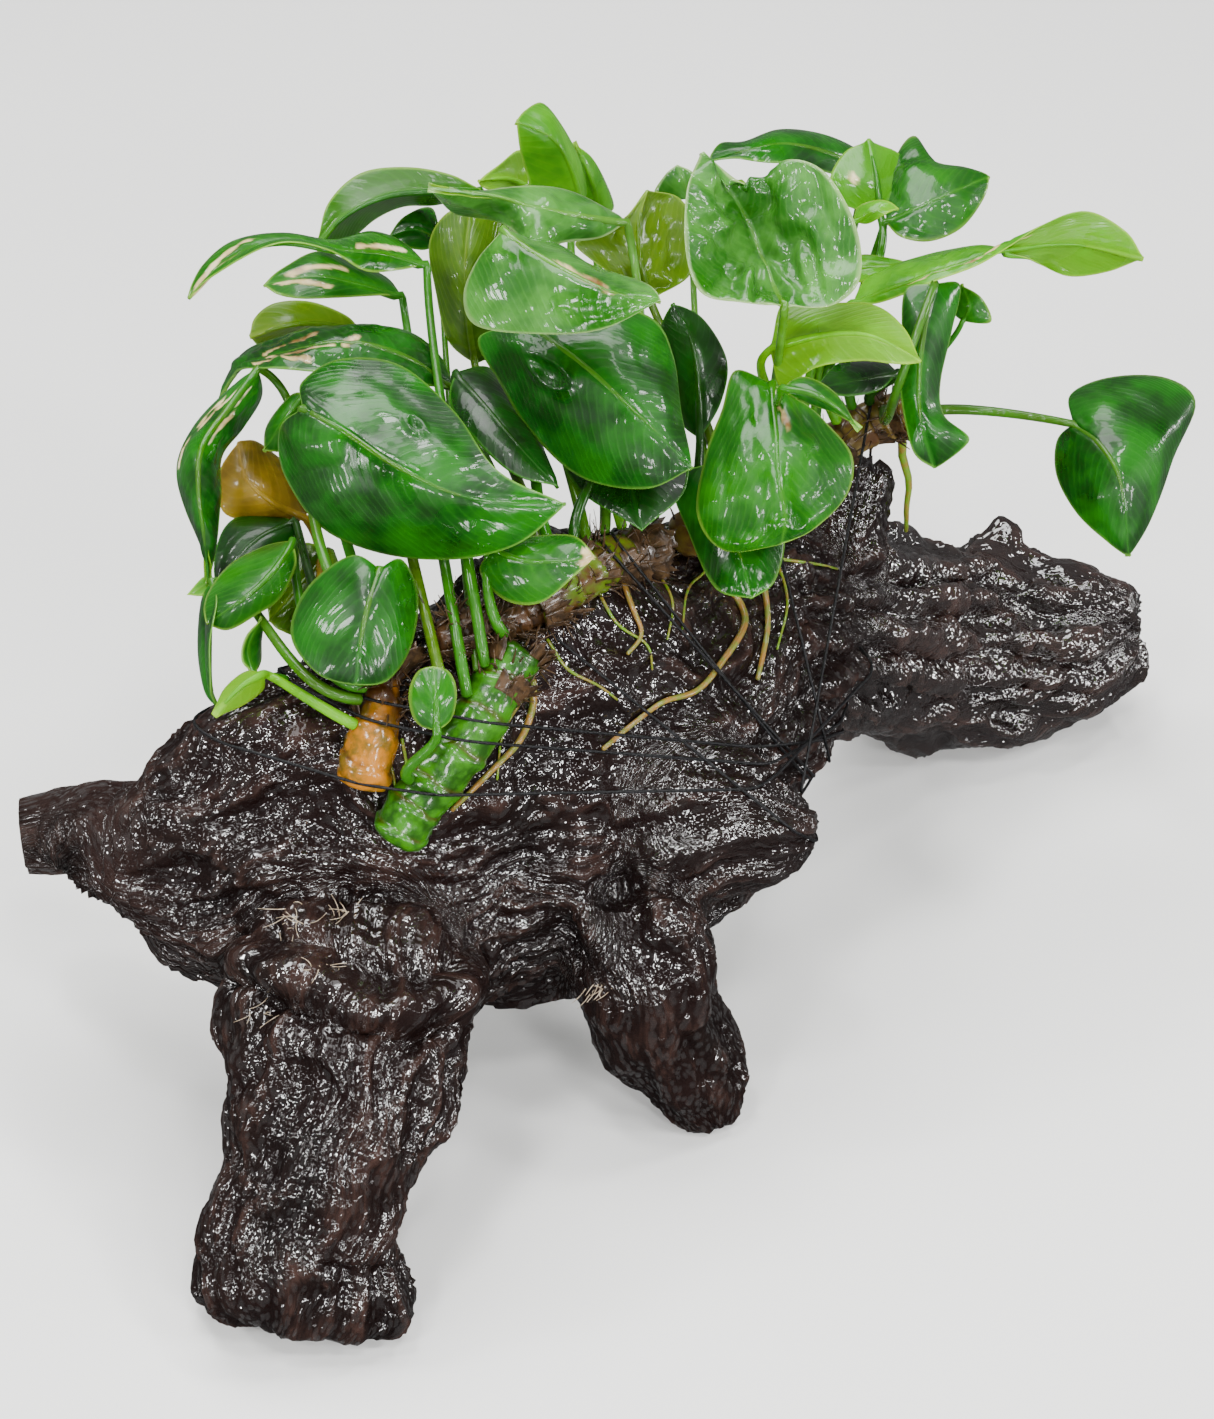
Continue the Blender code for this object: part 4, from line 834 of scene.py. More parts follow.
         ((54.6, 98.9, 12), (53.8, 105.9, 12), (52.2, 113.7, 8)),
         ((63.6, 98.9, 8), (63.6, 104.9, 6), (58.6, 111.3, 6)),
         ((47.6, 100.9, 10), (44.6, 105.9, 10), (47.6, 111.5, 8))),
    Leaf("leaf_glossy_back", "fresh", ((49, 60.5, 4.5), (45.5, 72.5, 13), (52.5, 86.5, 5.5)),
         ((55.6, 97.5, 14), (62.6, 100.9, 17), (69.6, 103.9, 16), (76.8, 106.9, 10)),
         ((56.6, 105.9, 8), (58.6, 112.3, 4), (61.8, 114.7, 2), (65.6, 109.9, 6), (71.6, 108.5, 8)),
         ((58.6, 94.7, 18), (64.6, 93.7, 18), (71, 96.3, 16), (75.2, 101.9, 12))),
    Leaf("leaf_long_right", "bright", ((46, 57.5, 6.5), (40, 69.5, 11), (42.5, 76.5, 16)),
         ((49, 81.3, 24), (59.6, 85.5, 30), (70.6, 89.5, 32), (79.6, 91.9, 28), (92.6, 93.3, 18), (107.2, 90.3, 12)),
         ((53, 87.5, 20), (63.6, 91.1, 20), (75.6, 92.5, 26), (82.6, 90.7, 26), (91.6, 86.9, 12), (100.6, 87.9, 10)),
         ((54.6, 81.3, 28), (65.6, 85.5, 34), (75.6, 89.5, 32), (86.6, 96.7, 24), (95.6, 99.7, 18),
          (103.6, 95.9, 14))),
    Leaf("leaf_underside_right", "underside", ((34, 49.5, 14.5), (34.5, 65.5, 18.5), (27.5, 68, 37.5)),
         ((32.6, 71.9, 40), (42.6, 74.3, 44), (52.6, 74.3, 48), (62.8, 69.1, 50)),
         ((35, 64.3, 40), (41.6, 68.3, 44), (50.6, 69.7, 47), (57.6, 69.1, 50)),
         ((35.6, 81.3, 34), (44.6, 80.9, 36), (53.6, 80.5, 40), (59.6, 75.9, 46))),
    Leaf("leaf_vertical_right", "deep", ((55.5, 60, 6), (55, 52.5, 33), (58, 65.5, 49)),
         ((65.6, 85.3, 34), (63.6, 75.9, 38), (62.6, 65.9, 40), (63, 56.9, 40), (65.6, 47.9, 35)),
         ((70.6, 84.9, 30), (69, 75.9, 32), (67, 65.9, 34), (67.6, 58.9, 36), (72.6, 53.9, 38)),
         ((59.6, 83.9, 34), (58.8, 72.9, 36), (58.6, 62.9, 38), (61, 51.9, 38))),
    Leaf("leaf_heart_right", "deep", ((63, 59.5, 9), (70, 61, 12), (84, 59, 15)),
         ((93.2, 57.1, 16), (99, 52.7, 24), (103, 44.9, 27), (104.4, 30.3, 22)),
         ((92.6, 62.7, 10), (99.6, 66.3, 8), (111.6, 66.3, 6), (117.8, 61.3, 8), (113, 49.5, 14), (108.6, 37.9, 18)),
         ((89.8, 53.9, 14), (89.8, 46.9, 16), (93.6, 39.5, 18), (99.6, 33.9, 20))),
    Leaf("leaf_front_right", "fresh", ((28, 46.5, 20.5), (30, 58.5, 28), (31, 62, 38.5)),
         ((33, 65.3, 50), (33.8, 56.9, 57), (34.2, 47.9, 62), (35.6, 38.9, 64), (35, 32.9, 62)),
         ((37.6, 62.3, 50), (43.6, 57.9, 52), (49, 50.9, 54), (47.8, 42.9, 56), (41.6, 36.3, 60)),
         ((25.6, 67.9, 48), (23, 59.9, 50), (19.8, 50.9, 52), (18, 38.9, 56), (23.6, 31.7, 58))),
    Leaf("leaf_under_front", "deep", ((18, 40.5, 31.5), (18.5, 45.5, 35), (20, 49, 39)),
         ((21, 49.5, 44), (23.6, 38.9, 49), (27, 29.9, 52), (29, 22.1, 52)),
         ((31.6, 45.9, 44), (35.6, 35.9, 46), (33.6, 25.9, 50)),
         ((13, 45.9, 42), (16.6, 34.9, 44), (21.6, 24.3, 50))),
    Leaf("leaf_dark_centre", "shade", ((-6.5, 31.5, 55), (-8.5, 42, 60), (2.5, 52.5, 35)),
         ((3, 55.9, 44), (4.6, 45.9, 50), (7, 35.9, 54)),
         ((14.6, 53.9, 44), (15.6, 43.9, 50)),
         ((-9.4, 53.9, 44), (-5.4, 43.9, 50))),
    Leaf("leaf_dark_left", "shade", ((-14.5, 27, 58), (-30, 42.5, 69.5), (-30.5, 58, 35)),
         ((-30.4, 67.5, 42), (-23.4, 59.9, 50), (-16.4, 51.9, 54), (-9.4, 44.7, 56)),
         ((-23.4, 68.3, 36), (-18.4, 61.9, 40), (-13.4, 53.9, 46)),
         ((-31.4, 60.9, 46), (-26.4, 53.9, 52), (-18.4, 46.9, 56))),
    Leaf("leaf_old_olive", "olive", ((-12.5, 29, 55), (-15, 44, 52), (-25, 58, 20)),
         ((-26.4, 68.9, 13), (-27.8, 77.9, 18), (-28.4, 87.9, 21), (-27.4, 100.9, 19)),
         ((-31.8, 73.9, 12), (-34.2, 83.9, 14), (-35.4, 92.9, 16), (-32.4, 98.9, 18)),
         ((-20.4, 72.9, 10), (-17.4, 83.9, 12), (-17.8, 93.9, 14), (-21.4, 99.9, 16))),
    Leaf("leaf_dark_right", "shade", ((52.5, 61.5, 4.5), (51.5, 65, 7.5), (58, 65, 10.5)),
         ((58.2, 67.5, 14), (50.6, 66.3, 22), (41.6, 64.3, 28)),
         ((54.6, 63.9, 20), (47.6, 62.7, 26)),
         ((54.6, 70.3, 10), (46.6, 69.5, 18))),
    Leaf("leaf_small_back_left", "deep", ((-26, 8, 64), (-30, 40, 50), (-33, 75, 2)),
         ((-33.4, 93.9, 0), (-38.4, 96.3, 3), (-43.8, 94.7, 4)),
         ((-36.4, 91.9, 2), (-41, 92.7, 4)),
         ((-35, 100.3, -2), (-40.4, 98.7, 2))),
    Leaf("leaf_curled_left", "fresh", ((-45, 13, 64), (-52, 30, 56), (-57, 52, 46)),
         ((-60.2, 63.5, 46), (-64.6, 57.9, 46), (-69, 51.5, 42)),
         ((-60.4, 57.9, 44), (-63.4, 51.9, 42)),
         ((-63.4, 62.9, 44), (-68.2, 56.9, 42))),
    Leaf("leaf_shadow_left", "shade", ((-47.5, 5, 67), (-58, 15, 66), (-60, 30, 42)),
         ((-62.4, 37.9, 38), (-69, 34.9, 42), (-74.4, 29.9, 44), (-78.4, 22.9, 44)),
         ((-61.4, 33.9, 38), (-66.4, 29.9, 42), (-72.4, 24.9, 44)),
         ((-67.4, 38.9, 36), (-75, 37.9, 38), (-78.2, 31.9, 42))),
    Leaf("leaf_narrow", "fresh", ((28.5, 47, 20), (31, 56, 34), (34, 60, 52)),
         ((35, 64.3, 60), (41.6, 63.1, 63), (46.6, 60.1, 63), (50.8, 55.9, 62)),
         ((39.6, 66.3, 58), (46.2, 63.1, 60)),
         ((38.6, 61.9, 60), (44.6, 59.3, 61))),
    Leaf("leaf_fold_upright", "fresh", ((-64, 6, 60), (-66, 6.5, 60.5), (-68, 7, 61)),
         ((-70.2, 7.1, 62), (-71.4, 12.3, 60), (-68.6, 18.5, 58)),
         ((-73, 9.9, 62), (-72.2, 14.7, 60)),
         ((-69, 9.9, 58), (-69, 13.9, 56))),
    Leaf("leaf_small_yellow", "bright", ((-78, 20, 53), (-78, 22, 52), (-78.5, 24, 51)),
         ((-79, 25.9, 50), (-81.4, 24.3, 50), (-84.2, 22.9, 50)),
         ((-80.4, 22.9, 50),),
         ((-80.8, 26.5, 50),)),
    Leaf("leaf_behind_round", "olive", ((-46, 9, 66), (-52, 20, 62), (-54, 28, 46)),
         ((-55.4, 31.9, 40), (-61.4, 24.9, 44), (-67.8, 17.9, 46)),
         ((-54.4, 25.9, 42), (-60.4, 15.5, 44), (-65.4, 15.9, 46)),
         ((-61.4, 32.9, 40), (-67, 23.9, 42))),
    Leaf("leaf_grey_peak", "sheen", ((20, 43, 25), (18, 65, 26), (17, 90, 16)),
         ((16.6, 101.9, 16), (15.4, 105.5, 18), (14, 109.1, 18)),
         ((9.6, 102.7, 16), (11.4, 106.7, 18)),
         ((19.6, 103.9, 16), (17.4, 107.3, 18))),
    Leaf("leaf_small_bright", "bright", ((41, 54.5, 9), (42, 72, 18), (48, 90, 22)),
         ((49.2, 97.5, 22), (53.6, 99.9, 24), (58.6, 100.5, 22)),
         ((50.2, 100.7, 20), (54.6, 101.9, 22)),
         ((52.2, 97.1, 22), (55.8, 99.1, 24))),
    Leaf("leaf_pale_back", "bright", ((38, 52.5, 10), (40, 68, 16), (45, 82, 17)),
         ((47.6, 88.3, 18), (54.6, 89.1, 20), (61, 89.5, 20)),
         ((50.6, 91.1, 16), (56.6, 90.5, 18)),
         ((50.6, 85.5, 20), (56.6, 87.5, 22))),
    Leaf("leaf_folded_right", "fresh", ((56, 60, 5), (60, 66, 14), (69, 72, 20)),
         ((71, 77.5, 24), (72.2, 80.9, 26), (70.6, 85.3, 24)),
         ((69, 79.9, 22), (69, 82.9, 22)),
         ((76.8, 77.5, 26), (75, 82.3, 26))),
    Leaf("leaf_shade_mid", "shade", ((18, 41, 31), (18, 45, 33), (18.5, 50, 33)),
         ((18.6, 53.9, 34), (18.2, 65.9, 36), (16.6, 74.9, 36), (13, 81.5, 34)),
         ((14.6, 57.9, 32), (12.2, 67.9, 32), (10.6, 75.9, 32)),
         ((23, 61.9, 32), (24.2, 69.9, 32), (19.6, 78.3, 32))),
)

# Cream scars on the blades: t, v at each end, width in mm
SCARS = {
    "leaf_far_left": ((0.62, -0.3, 0.97, -0.5, 0.8), (0.14, 0.3, 0.32, 0.1, 1.0), (0.7, 0.4, 0.95, 0.2, 0.6)),
    "leaf_low_left": ((0.45, 0.4, 0.8, 0.3, 0.7), (0.5, -0.5, 0.9, -0.3, 0.6)),
    "leaf_arch_mid_left": ((0.42, -0.2, 0.66, -0.3, 0.5), (0.5, -0.65, 0.72, -0.6, 0.6),
                           (0.36, 0.1, 0.38, -0.1, 0.8), (0.5, 0.3, 0.7, 0.1, 0.4)),
    "leaf_hanging_left": ((0.08, 0.2, 0.34, 0.5, 0.5), (0.1, -0.3, 0.4, -0.2, 0.4), (0.2, 0.5, 0.5, 0.8, 0.5)),
    "leaf_folded_centre": ((0.33, -0.05, 0.62, -0.06, 0.9), (0.6, 0.0, 0.7, 0.08, 0.7)),
    "leaf_long_right": ((0.4, 0.3, 0.62, 0.4, 0.6), (0.16, 0.2, 0.34, 0.3, 0.5)),
    "leaf_bright_front": ((0.86, -0.5, 0.96, -0.1, 0.6), (0.86, 0.5, 1.0, 0.1, 0.7)),
    "leaf_front_right": ((0.0, -0.1, 0.3, -0.25, 0.5),),
    "leaf_round_underside": ((0.5, 0.5, 0.52, 0.52, 0.6),),
}
# Pits with a raised wet ring: t, v, radius in mm
PITS = {"leaf_big_centre": ((0.30, 0.38, 3.6),), "leaf_big_left": ((0.55, -0.45, 1.6), (0.03, 0.3, 1.2))}
# Crumpled blades: height of the folds in mm and their spacing
CRUMPLES = {"leaf_crumpled": (3.0, 9.0), "leaf_bright_front": (0.5, 7.0), "leaf_front_right": (1.1, 10.0),
            "leaf_folded_top": (0.8, 9.0), "leaf_wavy_underside": (1.2, 9.0), "leaf_glossy_back": (0.9, 9.0),
            "leaf_long_right": (0.5, 8.0), "leaf_tall_top": (0.4, 9.0), "leaf_folded_centre": (0.5, 8.0),
            "leaf_arch_mid_left": (0.7, 7.0), "leaf_hanging_left": (0.6, 8.0), "leaf_big_left": (0.7, 14.0),
            "leaf_big_centre": (0.7, 14.0), "leaf_heart_right": (0.6, 11.0)}

# The blades by colour, each with its upper side, deeper mottling, underside, veins and margin
TONES = {
    "deep": ("#0e5a00", "#032e00", "#588a10", "#2a8010", "#6ca038", 0.5),
    "fresh": ("#196200", "#084400", "#3c8000", "#449014", "#8cb440", 0.5),
    # the sheen tone's pale grey-greens are painted sheen: the wet skin's reflection painted into its colours
    "sheen": ("#44822c", "#145200", "#689a10", "#5a983c", "#a4c07c", 0.7),
    "bright": ("#4c9600", "#2f7400", "#4c8400", "#689c10", "#98bc34", 0.2),
    "arch": ("#1e6c00", "#0a4a00", "#245600", "#3c8410", "#8cb440", 0.15),
    "underside": ("#66ac00", "#468c00", "#5a9000", "#74a814", "#98bc34", 0.08),
    "olive": ("#456a00", "#2b4c00", "#4a6a04", "#76901c", "#8ca83c", 0.25),
    # the shade tone is painted shade: near-black greens for leaves deep in the crown and behind others, where shade
    # falls
    "shade": ("#083a00", "#021a00", "#244c0c", "#1a5a10", "#3c7c1a", 0.4),
    "old": ("#7c6204", "#4e3c04", "#927814", "#a88828", "#a88828", 0.3),
}


class LeafSettings(bpy.types.PropertyGroup):
    grid: bpy.props.FloatProperty(name="Blade grid", description="Spacing of a blade's surface points",
                                  default=0.0008, min=0.0003, unit="LENGTH", precision=5)
    thickness: bpy.props.FloatProperty(name="Thickness", description="Thickness of a blade beside its midrib",
                                       default=0.0006, unit="LENGTH", precision=5)
    midrib: bpy.props.FloatProperty(name="Midrib", description="Depth of the groove over the midrib",
                                    default=0.0004, unit="LENGTH", precision=5)


def curve(spots, shares):
    """Points at shares 0 to 1 of a smooth curve through places that an onlooker sees."""
    places = [seen(*spot) for spot in spots]
    return np.array([tuple(through(places, share)) for share in shares])


def arched(points, t):
    """The point at t from 0 to 1 of the Bezier curve that leads from the first of four points to the last."""
    a, b, c, d = points
    s = 1.0 - t
    return a * (s * s * s) + b * (3 * s * s * t) + c * (3 * s * t * t) + d * (t * t * t)


def blade_sheet(leaf, t, v):
    """The middle layer of a blade, its half widths and the directions that its upper face looks in."""
    middle = curve(leaf.middle, t)
    left, right = (curve(leaf.middle[:1] + side + leaf.middle[-1:], t) - middle for side in (leaf.left, leaf.right))
    wing = np.where((v > 0.0)[None, :, None], right[:, None, :], left[:, None, :])
    sheet = middle[:, None, :] + wing * np.abs(v)[None, :, None]
    lift = unit(np.cross(unit(np.gradient(sheet, axis=1)), unit(np.gradient(sheet, axis=0))))
    for _ in range(3):
        lift = unit(np.concatenate((lift[:1], lift[:-2] + lift[1:-1] * 2 + lift[2:], lift[-1:])))
        lift = unit(np.concatenate((lift[:, :1], lift[:, :-2] + lift[:, 1:-1] + lift[:, 2:], lift[:, -1:]), 1))
    return sheet, np.linalg.norm(wing, axis=2), lift


def blade_relief(leaf, t, v, span, length, midrib):
    """How far a blade's face rises and where it is scarred, over its rows t and columns v, and its flat map in mm."""
    across, seed = np.abs(v), sum(map(ord, leaf.name)) % 97
    half = span * across
    run, side = t[:, None] * length + 0.0 * half, half * np.sign(v)
    flat = np.stack((run, side, 0.0 * half), 2).reshape(-1, 3)
    # gentle waves on every blade, sharper ones on the crumpled
    rise = WAVE_HEIGHT * layered(flat / WAVE_GAP + seed, seed, 2).reshape(half.shape)
    if leaf.name in CRUMPLES:
        high, wide = CRUMPLES[leaf.name]
        folds = np.abs(layered(flat / wide + seed, seed + 3, 3)).reshape(half.shape)
        rise += (1.0 - across ** 3) * high * (folds * 1.6 - 0.5)
    rise *= (0.25 + 0.75 * np.minimum(across * 2.0, 1.0)) * np.minimum(np.sin(math.pi * t) * 2.5, 1.0)[:, None]
    # a groove over the midrib, and each half swells between it and the margin
    rise += HALF_SWELL * span * np.sin(math.pi * across) - midrib * np.exp(-half ** 2)

    def place_on(share, beside):
        return np.array((share * length, beside * np.interp(share, t, span[:, 0 if beside < 0 else -1])))

    scar = np.zeros(half.shape)
    ragged = SCAR_RAG * layered(flat / 2.2, seed + 9, 2).reshape(half.shape)
    for t0, v0, t1, v1, wide in SCARS.get(leaf.name, ()):
        a, b = place_on(t0, v0), place_on(t1, v1)
        way = b - a
        along = np.clip(((run - a[0]) * way[0] + (side - a[1]) * way[1]) / (way @ way), 0.0, 1.0)
        off = np.hypot(run - a[0] - along * way[0], side - a[1] - along * way[1]) + ragged
        scar = np.maximum(scar, 1.0 - ease(off, wide * 0.45, wide))
    for t0, v0, wide in PITS.get(leaf.name, ()):
        spot = place_on(t0, v0)
        off = np.hypot(run - spot[0], side - spot[1]) / wide
        rise += PIT_RIM * np.exp(-((off - 1.0) / 0.28) ** 2) - PIT_DEPTH * np.exp(-(off / 0.7) ** 2)
    return rise - SCAR_DEPTH * scar, scar, flat


def stalk(leaf, length, underside, lift):
    """The run of a leaf's stalk from its rhizome and on below the blade as the midrib, with its radii."""
    route = [seen(*spot) for spot in leaf.stalk + leaf.middle[:1]]
    steps = max(8, int(run_length([arched(route, k / 12) for k in range(13)]) / STALK_STEP))
    spots = [arched(route, k / steps) for k in range(steps + 1)]
    size = STALK_RADIUS if length > SMALL_LEAF else STALK_RADIUS * 0.7
    radii = [size * (1.0 - 0.28 * ease(k / len(spots), 0.0, 1.0)) for k in range(len(spots))]
    rows = len(underside)
    for i in range(2, int(rows * 0.86), 2):
        share = i / rows
        spots.append(Vector(underside[i] + lift[i] * (0.15 + 0.1 * share)))
        radii.append(0.72 * size * (1.0 - share) ** 0.8 + 0.08)
    return spots, radii


def leaf_mesh(leaf, settings):
    """One leaf: its blade as a thin closed sheet with its marks, joined with its stalk."""
    step = settings.grid / MM
    middle = curve(leaf.middle, np.linspace(0.0, 1.0, 30))
    length = float(np.linalg.norm(np.diff(middle, axis=0), axis=1).sum())
    across = max((seen(*a) - seen(*b)).length for a in leaf.left for b in leaf.right)
    rows, columns = max(24, int(length * 1.15 / step)), max(9, int(across / step) // 2 * 2 + 1)
    t, v = np.linspace(0.004, 0.996, rows), np.linspace(-1.0, 1.0, columns)
    sheet, span, lift = blade_sheet(leaf, t, v)
    rise, scar, flat = blade_relief(leaf, t, v, span, length, settings.midrib / MM)
    upper = sheet + lift * rise[:, :, None]
    lower = upper - lift * (settings.thickness / MM * (1.0 - 0.75 * np.abs(v) ** 4))[:, None]
    rim = ease(span * np.abs(v) - span, -0.6, -0.15)
    marks = [np.column_stack((flat[:, :2], np.full(len(flat), below), scar.ravel(), rim.ravel())) for below in (0, 1)]
    blade = np.concatenate((upper, lower)).reshape(-1, 3), sheet_faces(rows, columns), np.concatenate(marks)
    spots, radii = stalk(leaf, length, lower[:, columns // 2], lift[:, columns // 2])
    verts, faces, far = tube(spots, radii, STALK_SIDES)
    # a stalk is marked as far from the midrib's veins and a third yellow like the underside
    return gathered([blade, (verts, faces, far[:, None] * (1, 0, 0, 0, 0) + (0, 30.0, 0.3, 0, 0))])


class AQUA_OT_leaves(bpy.types.Operator):
    """Every leaf: a waxy blade with its veins, scars and margin, on a stalk that rises from its rhizome"""

    bl_idname = "aqua.leaves"
    bl_label = "Leaves"

    def execute(self, context):
        finishes = {tone: leaf_finish("anubias_blade_" + tone, *look) for tone, look in TONES.items()}
        for leaf in LEAVES:
            verts, faces, marks = leaf_mesh(leaf, context.scene.aqua_leaf)
            nodes = (leaf.name,) if leaf.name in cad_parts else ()
            make_piece(leaf.name.replace("leaf_", "blade_"), verts, faces, finishes[leaf.tone], nodes,
                       {"blade": marks[:, :3], "scar": marks[:, 3], "rim": marks[:, 4]})
        return {"FINISHED"}


# Roots, husks and hairs

Root = namedtuple("Root", "name course radius")
ROOTS = (
    Root("root_front", ((-15, 6), (-15, 0), (-18, -7), (-24, -13), (-31, -20)), 0.8),
    Root("root_ridge", ((3, 26), (5, 20), (7, 15), (4, 11)), 0.6),
    Root("root_long", ((20, 34), (24, 25), (27.5, 18), (24, 11), (18, 4), (10, 1), (-1, -8)), 0.8),
    Root("root_short", ((30, 33), (31, 26), (32, 17), (30, 6)), 0.8),
)
# The roots' step in mm and points in a ring
ROOT_STEP, ROOT_SIDES = 1.2, 8
THIN_ROOTS = (
    ((-45, -7), (-43, -12), (-42, -19), (-44, -24)), ((-41, -6), (-40, -12), (-41, -17)),
    ((-12, 14), (-8, 8), (-2, 5), (2, 2)), ((-2, 24), (2, 17), (8, 13), (9, 8)), ((8, 30), (13, 22), (12, 14)),
    ((24, 36), (20, 28), (16, 24), (15, 16)), ((33, 32), (36, 22), (34, 12)), ((-30, -2), (-27, -8), (-29, -15)),
    ((35, 30), (42, 29), (46, 28)), ((-17, 2), (-21, -5), (-22, -14)),
)
# Tufts of pale threads on the wood: place, spread, count
TUFTS = ((-52, -41, 2.5, 16), (-62, -42, 6, 14), (-1, -56, 2.5, 12), (-57, -52, 3, 8), (-68, -60, 5, 6))
# Hairs and husk fibres: their shortest and longest, and the fibres' thinnest and thickest, in mm
HAIR_LENGTH, FIBRE_LENGTH, FIBRE_RADIUS = (2.0, 4.5), (2.0, 5.5), (0.16, 0.36)
# Torn leaf bases: the least and most that they reach round the stem, stand along it, curl away and are torn down
SHEATH_REACH, SHEATH_HEIGHT, SHEATH_CURL, SHEATH_TORN = (0.5, 1.0), (3.0, 6.0), (0.6, 2.2), (0.55, 1.0)
# Husks: their stem, the stretch of it that they stand on, and how many
HUSKS = (("rhizome_ridge", 0.0, 1.0, 200), ("rhizome_right", 0.0, 0.95, 200), ("rhizome_link", 0.0, 1.0, 240),
         ("rhizome_front", 0.8, 1.0, 80), ("rhizome_old", 0.45, 1.0, 80))


class RootSettings(bpy.types.PropertyGroup):
    thin: bpy.props.FloatProperty(name="Thin root", description="Radius of the thinnest roots",
                                  default=0.00034, unit="LENGTH", precision=5)
    hair: bpy.props.FloatProperty(name="Hair", description="Radius of the pale hairs on the wood",
                                  default=0.0001, unit="LENGTH", precision=5)


def creeping(course, radius, height):
    """A run that follows the wood under a course seen by an onlooker, and thins to its end."""
    course = [Vector((*spot, 0.0)) for spot in course]
    count = max(6, int(run_length(course) / ROOT_STEP))
    sights = [met(wood["skin"], *through(course, i / count)[:2]) for i in range(count + 1)]
    spots = [lifted(place, normal, height) for place, normal in sights if place is not None]
    for _ in range(2):
        spots = [spots[0]] + [(a + b * 2 + c) / 4 for a, b, c in zip(spots, spots[1:], spots[2:])] + [spots[-1]]
    return tube(spots, np.linspace(1.0, 0.6, len(spots)) * radius, ROOT_SIDES)


def bristle(start, lean, size, bend, radius, tip):
    """A short bent fibre that thins to a share of its radius at the tip."""
    spots = [start + lean * (size * k / 4) + bend * (k / 4) ** 2 for k in range(5)]
    return tube(spots, np.linspace(1.0, tip, 5) * radius, 4)


def leaf_sheath(middle, along, out, radius, draw):
    """One torn papery leaf base that clasps the stem and curls away from it at its ragged end."""
    side, rows, columns = along.cross(out), 9, 13
    wide, tall, curl = (draw.uniform(*most) for most in (SHEATH_REACH, SHEATH_HEIGHT, SHEATH_CURL))
    torn = draw.uniform(*SHEATH_TORN, columns)
    outer, inner = [], []
    for i in range(rows):
        for j in range(columns):
            u, v = i / (rows - 1) * torn[j], (j / (columns - 1) * 2.0 - 1.0) * wide
            spoke = out * math.cos(v) + side * math.sin(v)
            spot = middle + spoke * (radius * (1.0 + 0.02 * i) + curl * u * u) + along * (u * tall - 1.0)
            outer.append(tuple(spot))
            inner.append(tuple(spot - spoke * 0.25))
    return np.array(outer + inner), sheet_faces(rows, columns), np.zeros(2 * rows * columns)


def make_fine_piece(name, runs, finish, nodes=()):
    """One piece of several fine parts, with no leaf scars marked on it."""
    verts, faces, marks = gathered(runs)
    make_piece(name, verts, faces, finish, nodes, {"mark": marks * 0.0})


class AQUA_OT_roots(bpy.types.Operator):
    """Tan and green roots that creep over the wood, husks on the rhizomes and tufts of pale hairs"""

    bl_idname = "aqua.roots"
    bl_label = "Roots"

    def execute(self, context):
        settings = context.scene.aqua_root
        tan = stem_finish("root_tan", "#86622c", "#66702a", "#3a2a18", 0.5, 500.0)
        green = stem_finish("root_green", "#5c8418", "#7c6a28", "#4a4a20", 0.5, 500.0)
        for root in ROOTS:
            run = creeping(root.course, root.radius, root.radius * 0.75)
            make_fine_piece(root.name + "_skin", [run], tan, nodes=(root.name,))
        make_fine_piece("root_right_skin", [self.hanging_root()], green, nodes=("root_right",))
        thin = settings.thin / MM
        make_fine_piece("thin_roots", [creeping(course, thin, thin * 0.8) for course in THIN_ROOTS], green)
        self.hairs(settings.hair / MM)
        self.husks()
        return {"FINISHED"}

    def hanging_root(self):
        """The root that hangs free from the right stem and sways more and more towards its end."""
        start, bend, end = through(rhizomes["rhizome_right"][0], 0.88), seen(60, 46, -12), seen(60, 36, -24)
        spots = [start.lerp(bend, k / 6) for k in range(7)] + [bend.lerp(end, k / 5) for k in range(1, 6)]
        spots = np.array([tuple(p) for p in spots])
        spots += 0.9 * noises(spots / 6.0, 31, 3, 2) * np.linspace(0.0, 1.0, len(spots))[:, None] ** 0.5
        return tube(spots, np.linspace(1.1, 0.5, len(spots)), ROOT_SIDES)

    def hairs(self, radius):
        """Tufts of pale hairs that stand off the wood and droop."""
        pale = stem_finish("hair_pale", "#c8b8a0", "#93826c", "#6a5a48", 0.2, 700.0)
        draw = np.random.default_rng(7)
        runs = []
        for right, up, wide, count in TUFTS:
            for _ in range(count):
                x, y = right + draw.normal() * wide * 0.5, up + draw.normal() * wide * 0.25
                place, normal = met(wood["skin"], x, y)
                if place is None:
                    continue
                lean = (normal * 1.2 + Vector(draw.normal(size=3)) * 0.8 + Vector((0, 0, -0.7))).normalized()
                bend = Vector(draw.normal(size=3)) * 0.9
                runs.append(bristle(place, lean, draw.uniform(*HAIR_LENGTH), bend, radius, 0.4))
        make_fine_piece("wood_hairs", runs, pale)

    def husks(self):
        """Brown fibres along the stems, and a torn leaf base with every eighth of them."""
        brown = stem_finish("husk_brown", "#4a3622", "#2a1e12", "#20140c", 0.3, 600.0)
        draw = np.random.default_rng(11)
        fibres, sheaths = [], []
        for name, low, high, count in HUSKS:
            path, radius = rhizomes[name]
            for k in range(count):
                share = draw.uniform(low, high)
                middle, along = through(path, share), heading(path, share)
                out = Vector(draw.normal(size=3))
                out = (out - along * out.dot(along)).normalized()
                if k % 8 == 0:
                    sheaths.append(leaf_sheath(middle, along, out, radius, draw))
                lean = (out * 0.7 + along * draw.normal() * 0.7 + Vector((0, 0, 0.5))).normalized()
                size = draw.uniform(*FIBRE_LENGTH)
                bend = Vector(draw.normal(size=3)) * 1.2
                thick = draw.uniform(*FIBRE_RADIUS)
                fibres.append(bristle(middle + out * radius * 0.92, lean, size, bend, thick, 0.3))
        make_fine_piece("husk_fibres", fibres, brown)
        make_fine_piece("husk_sheaths", sheaths, brown)


# Tie thread

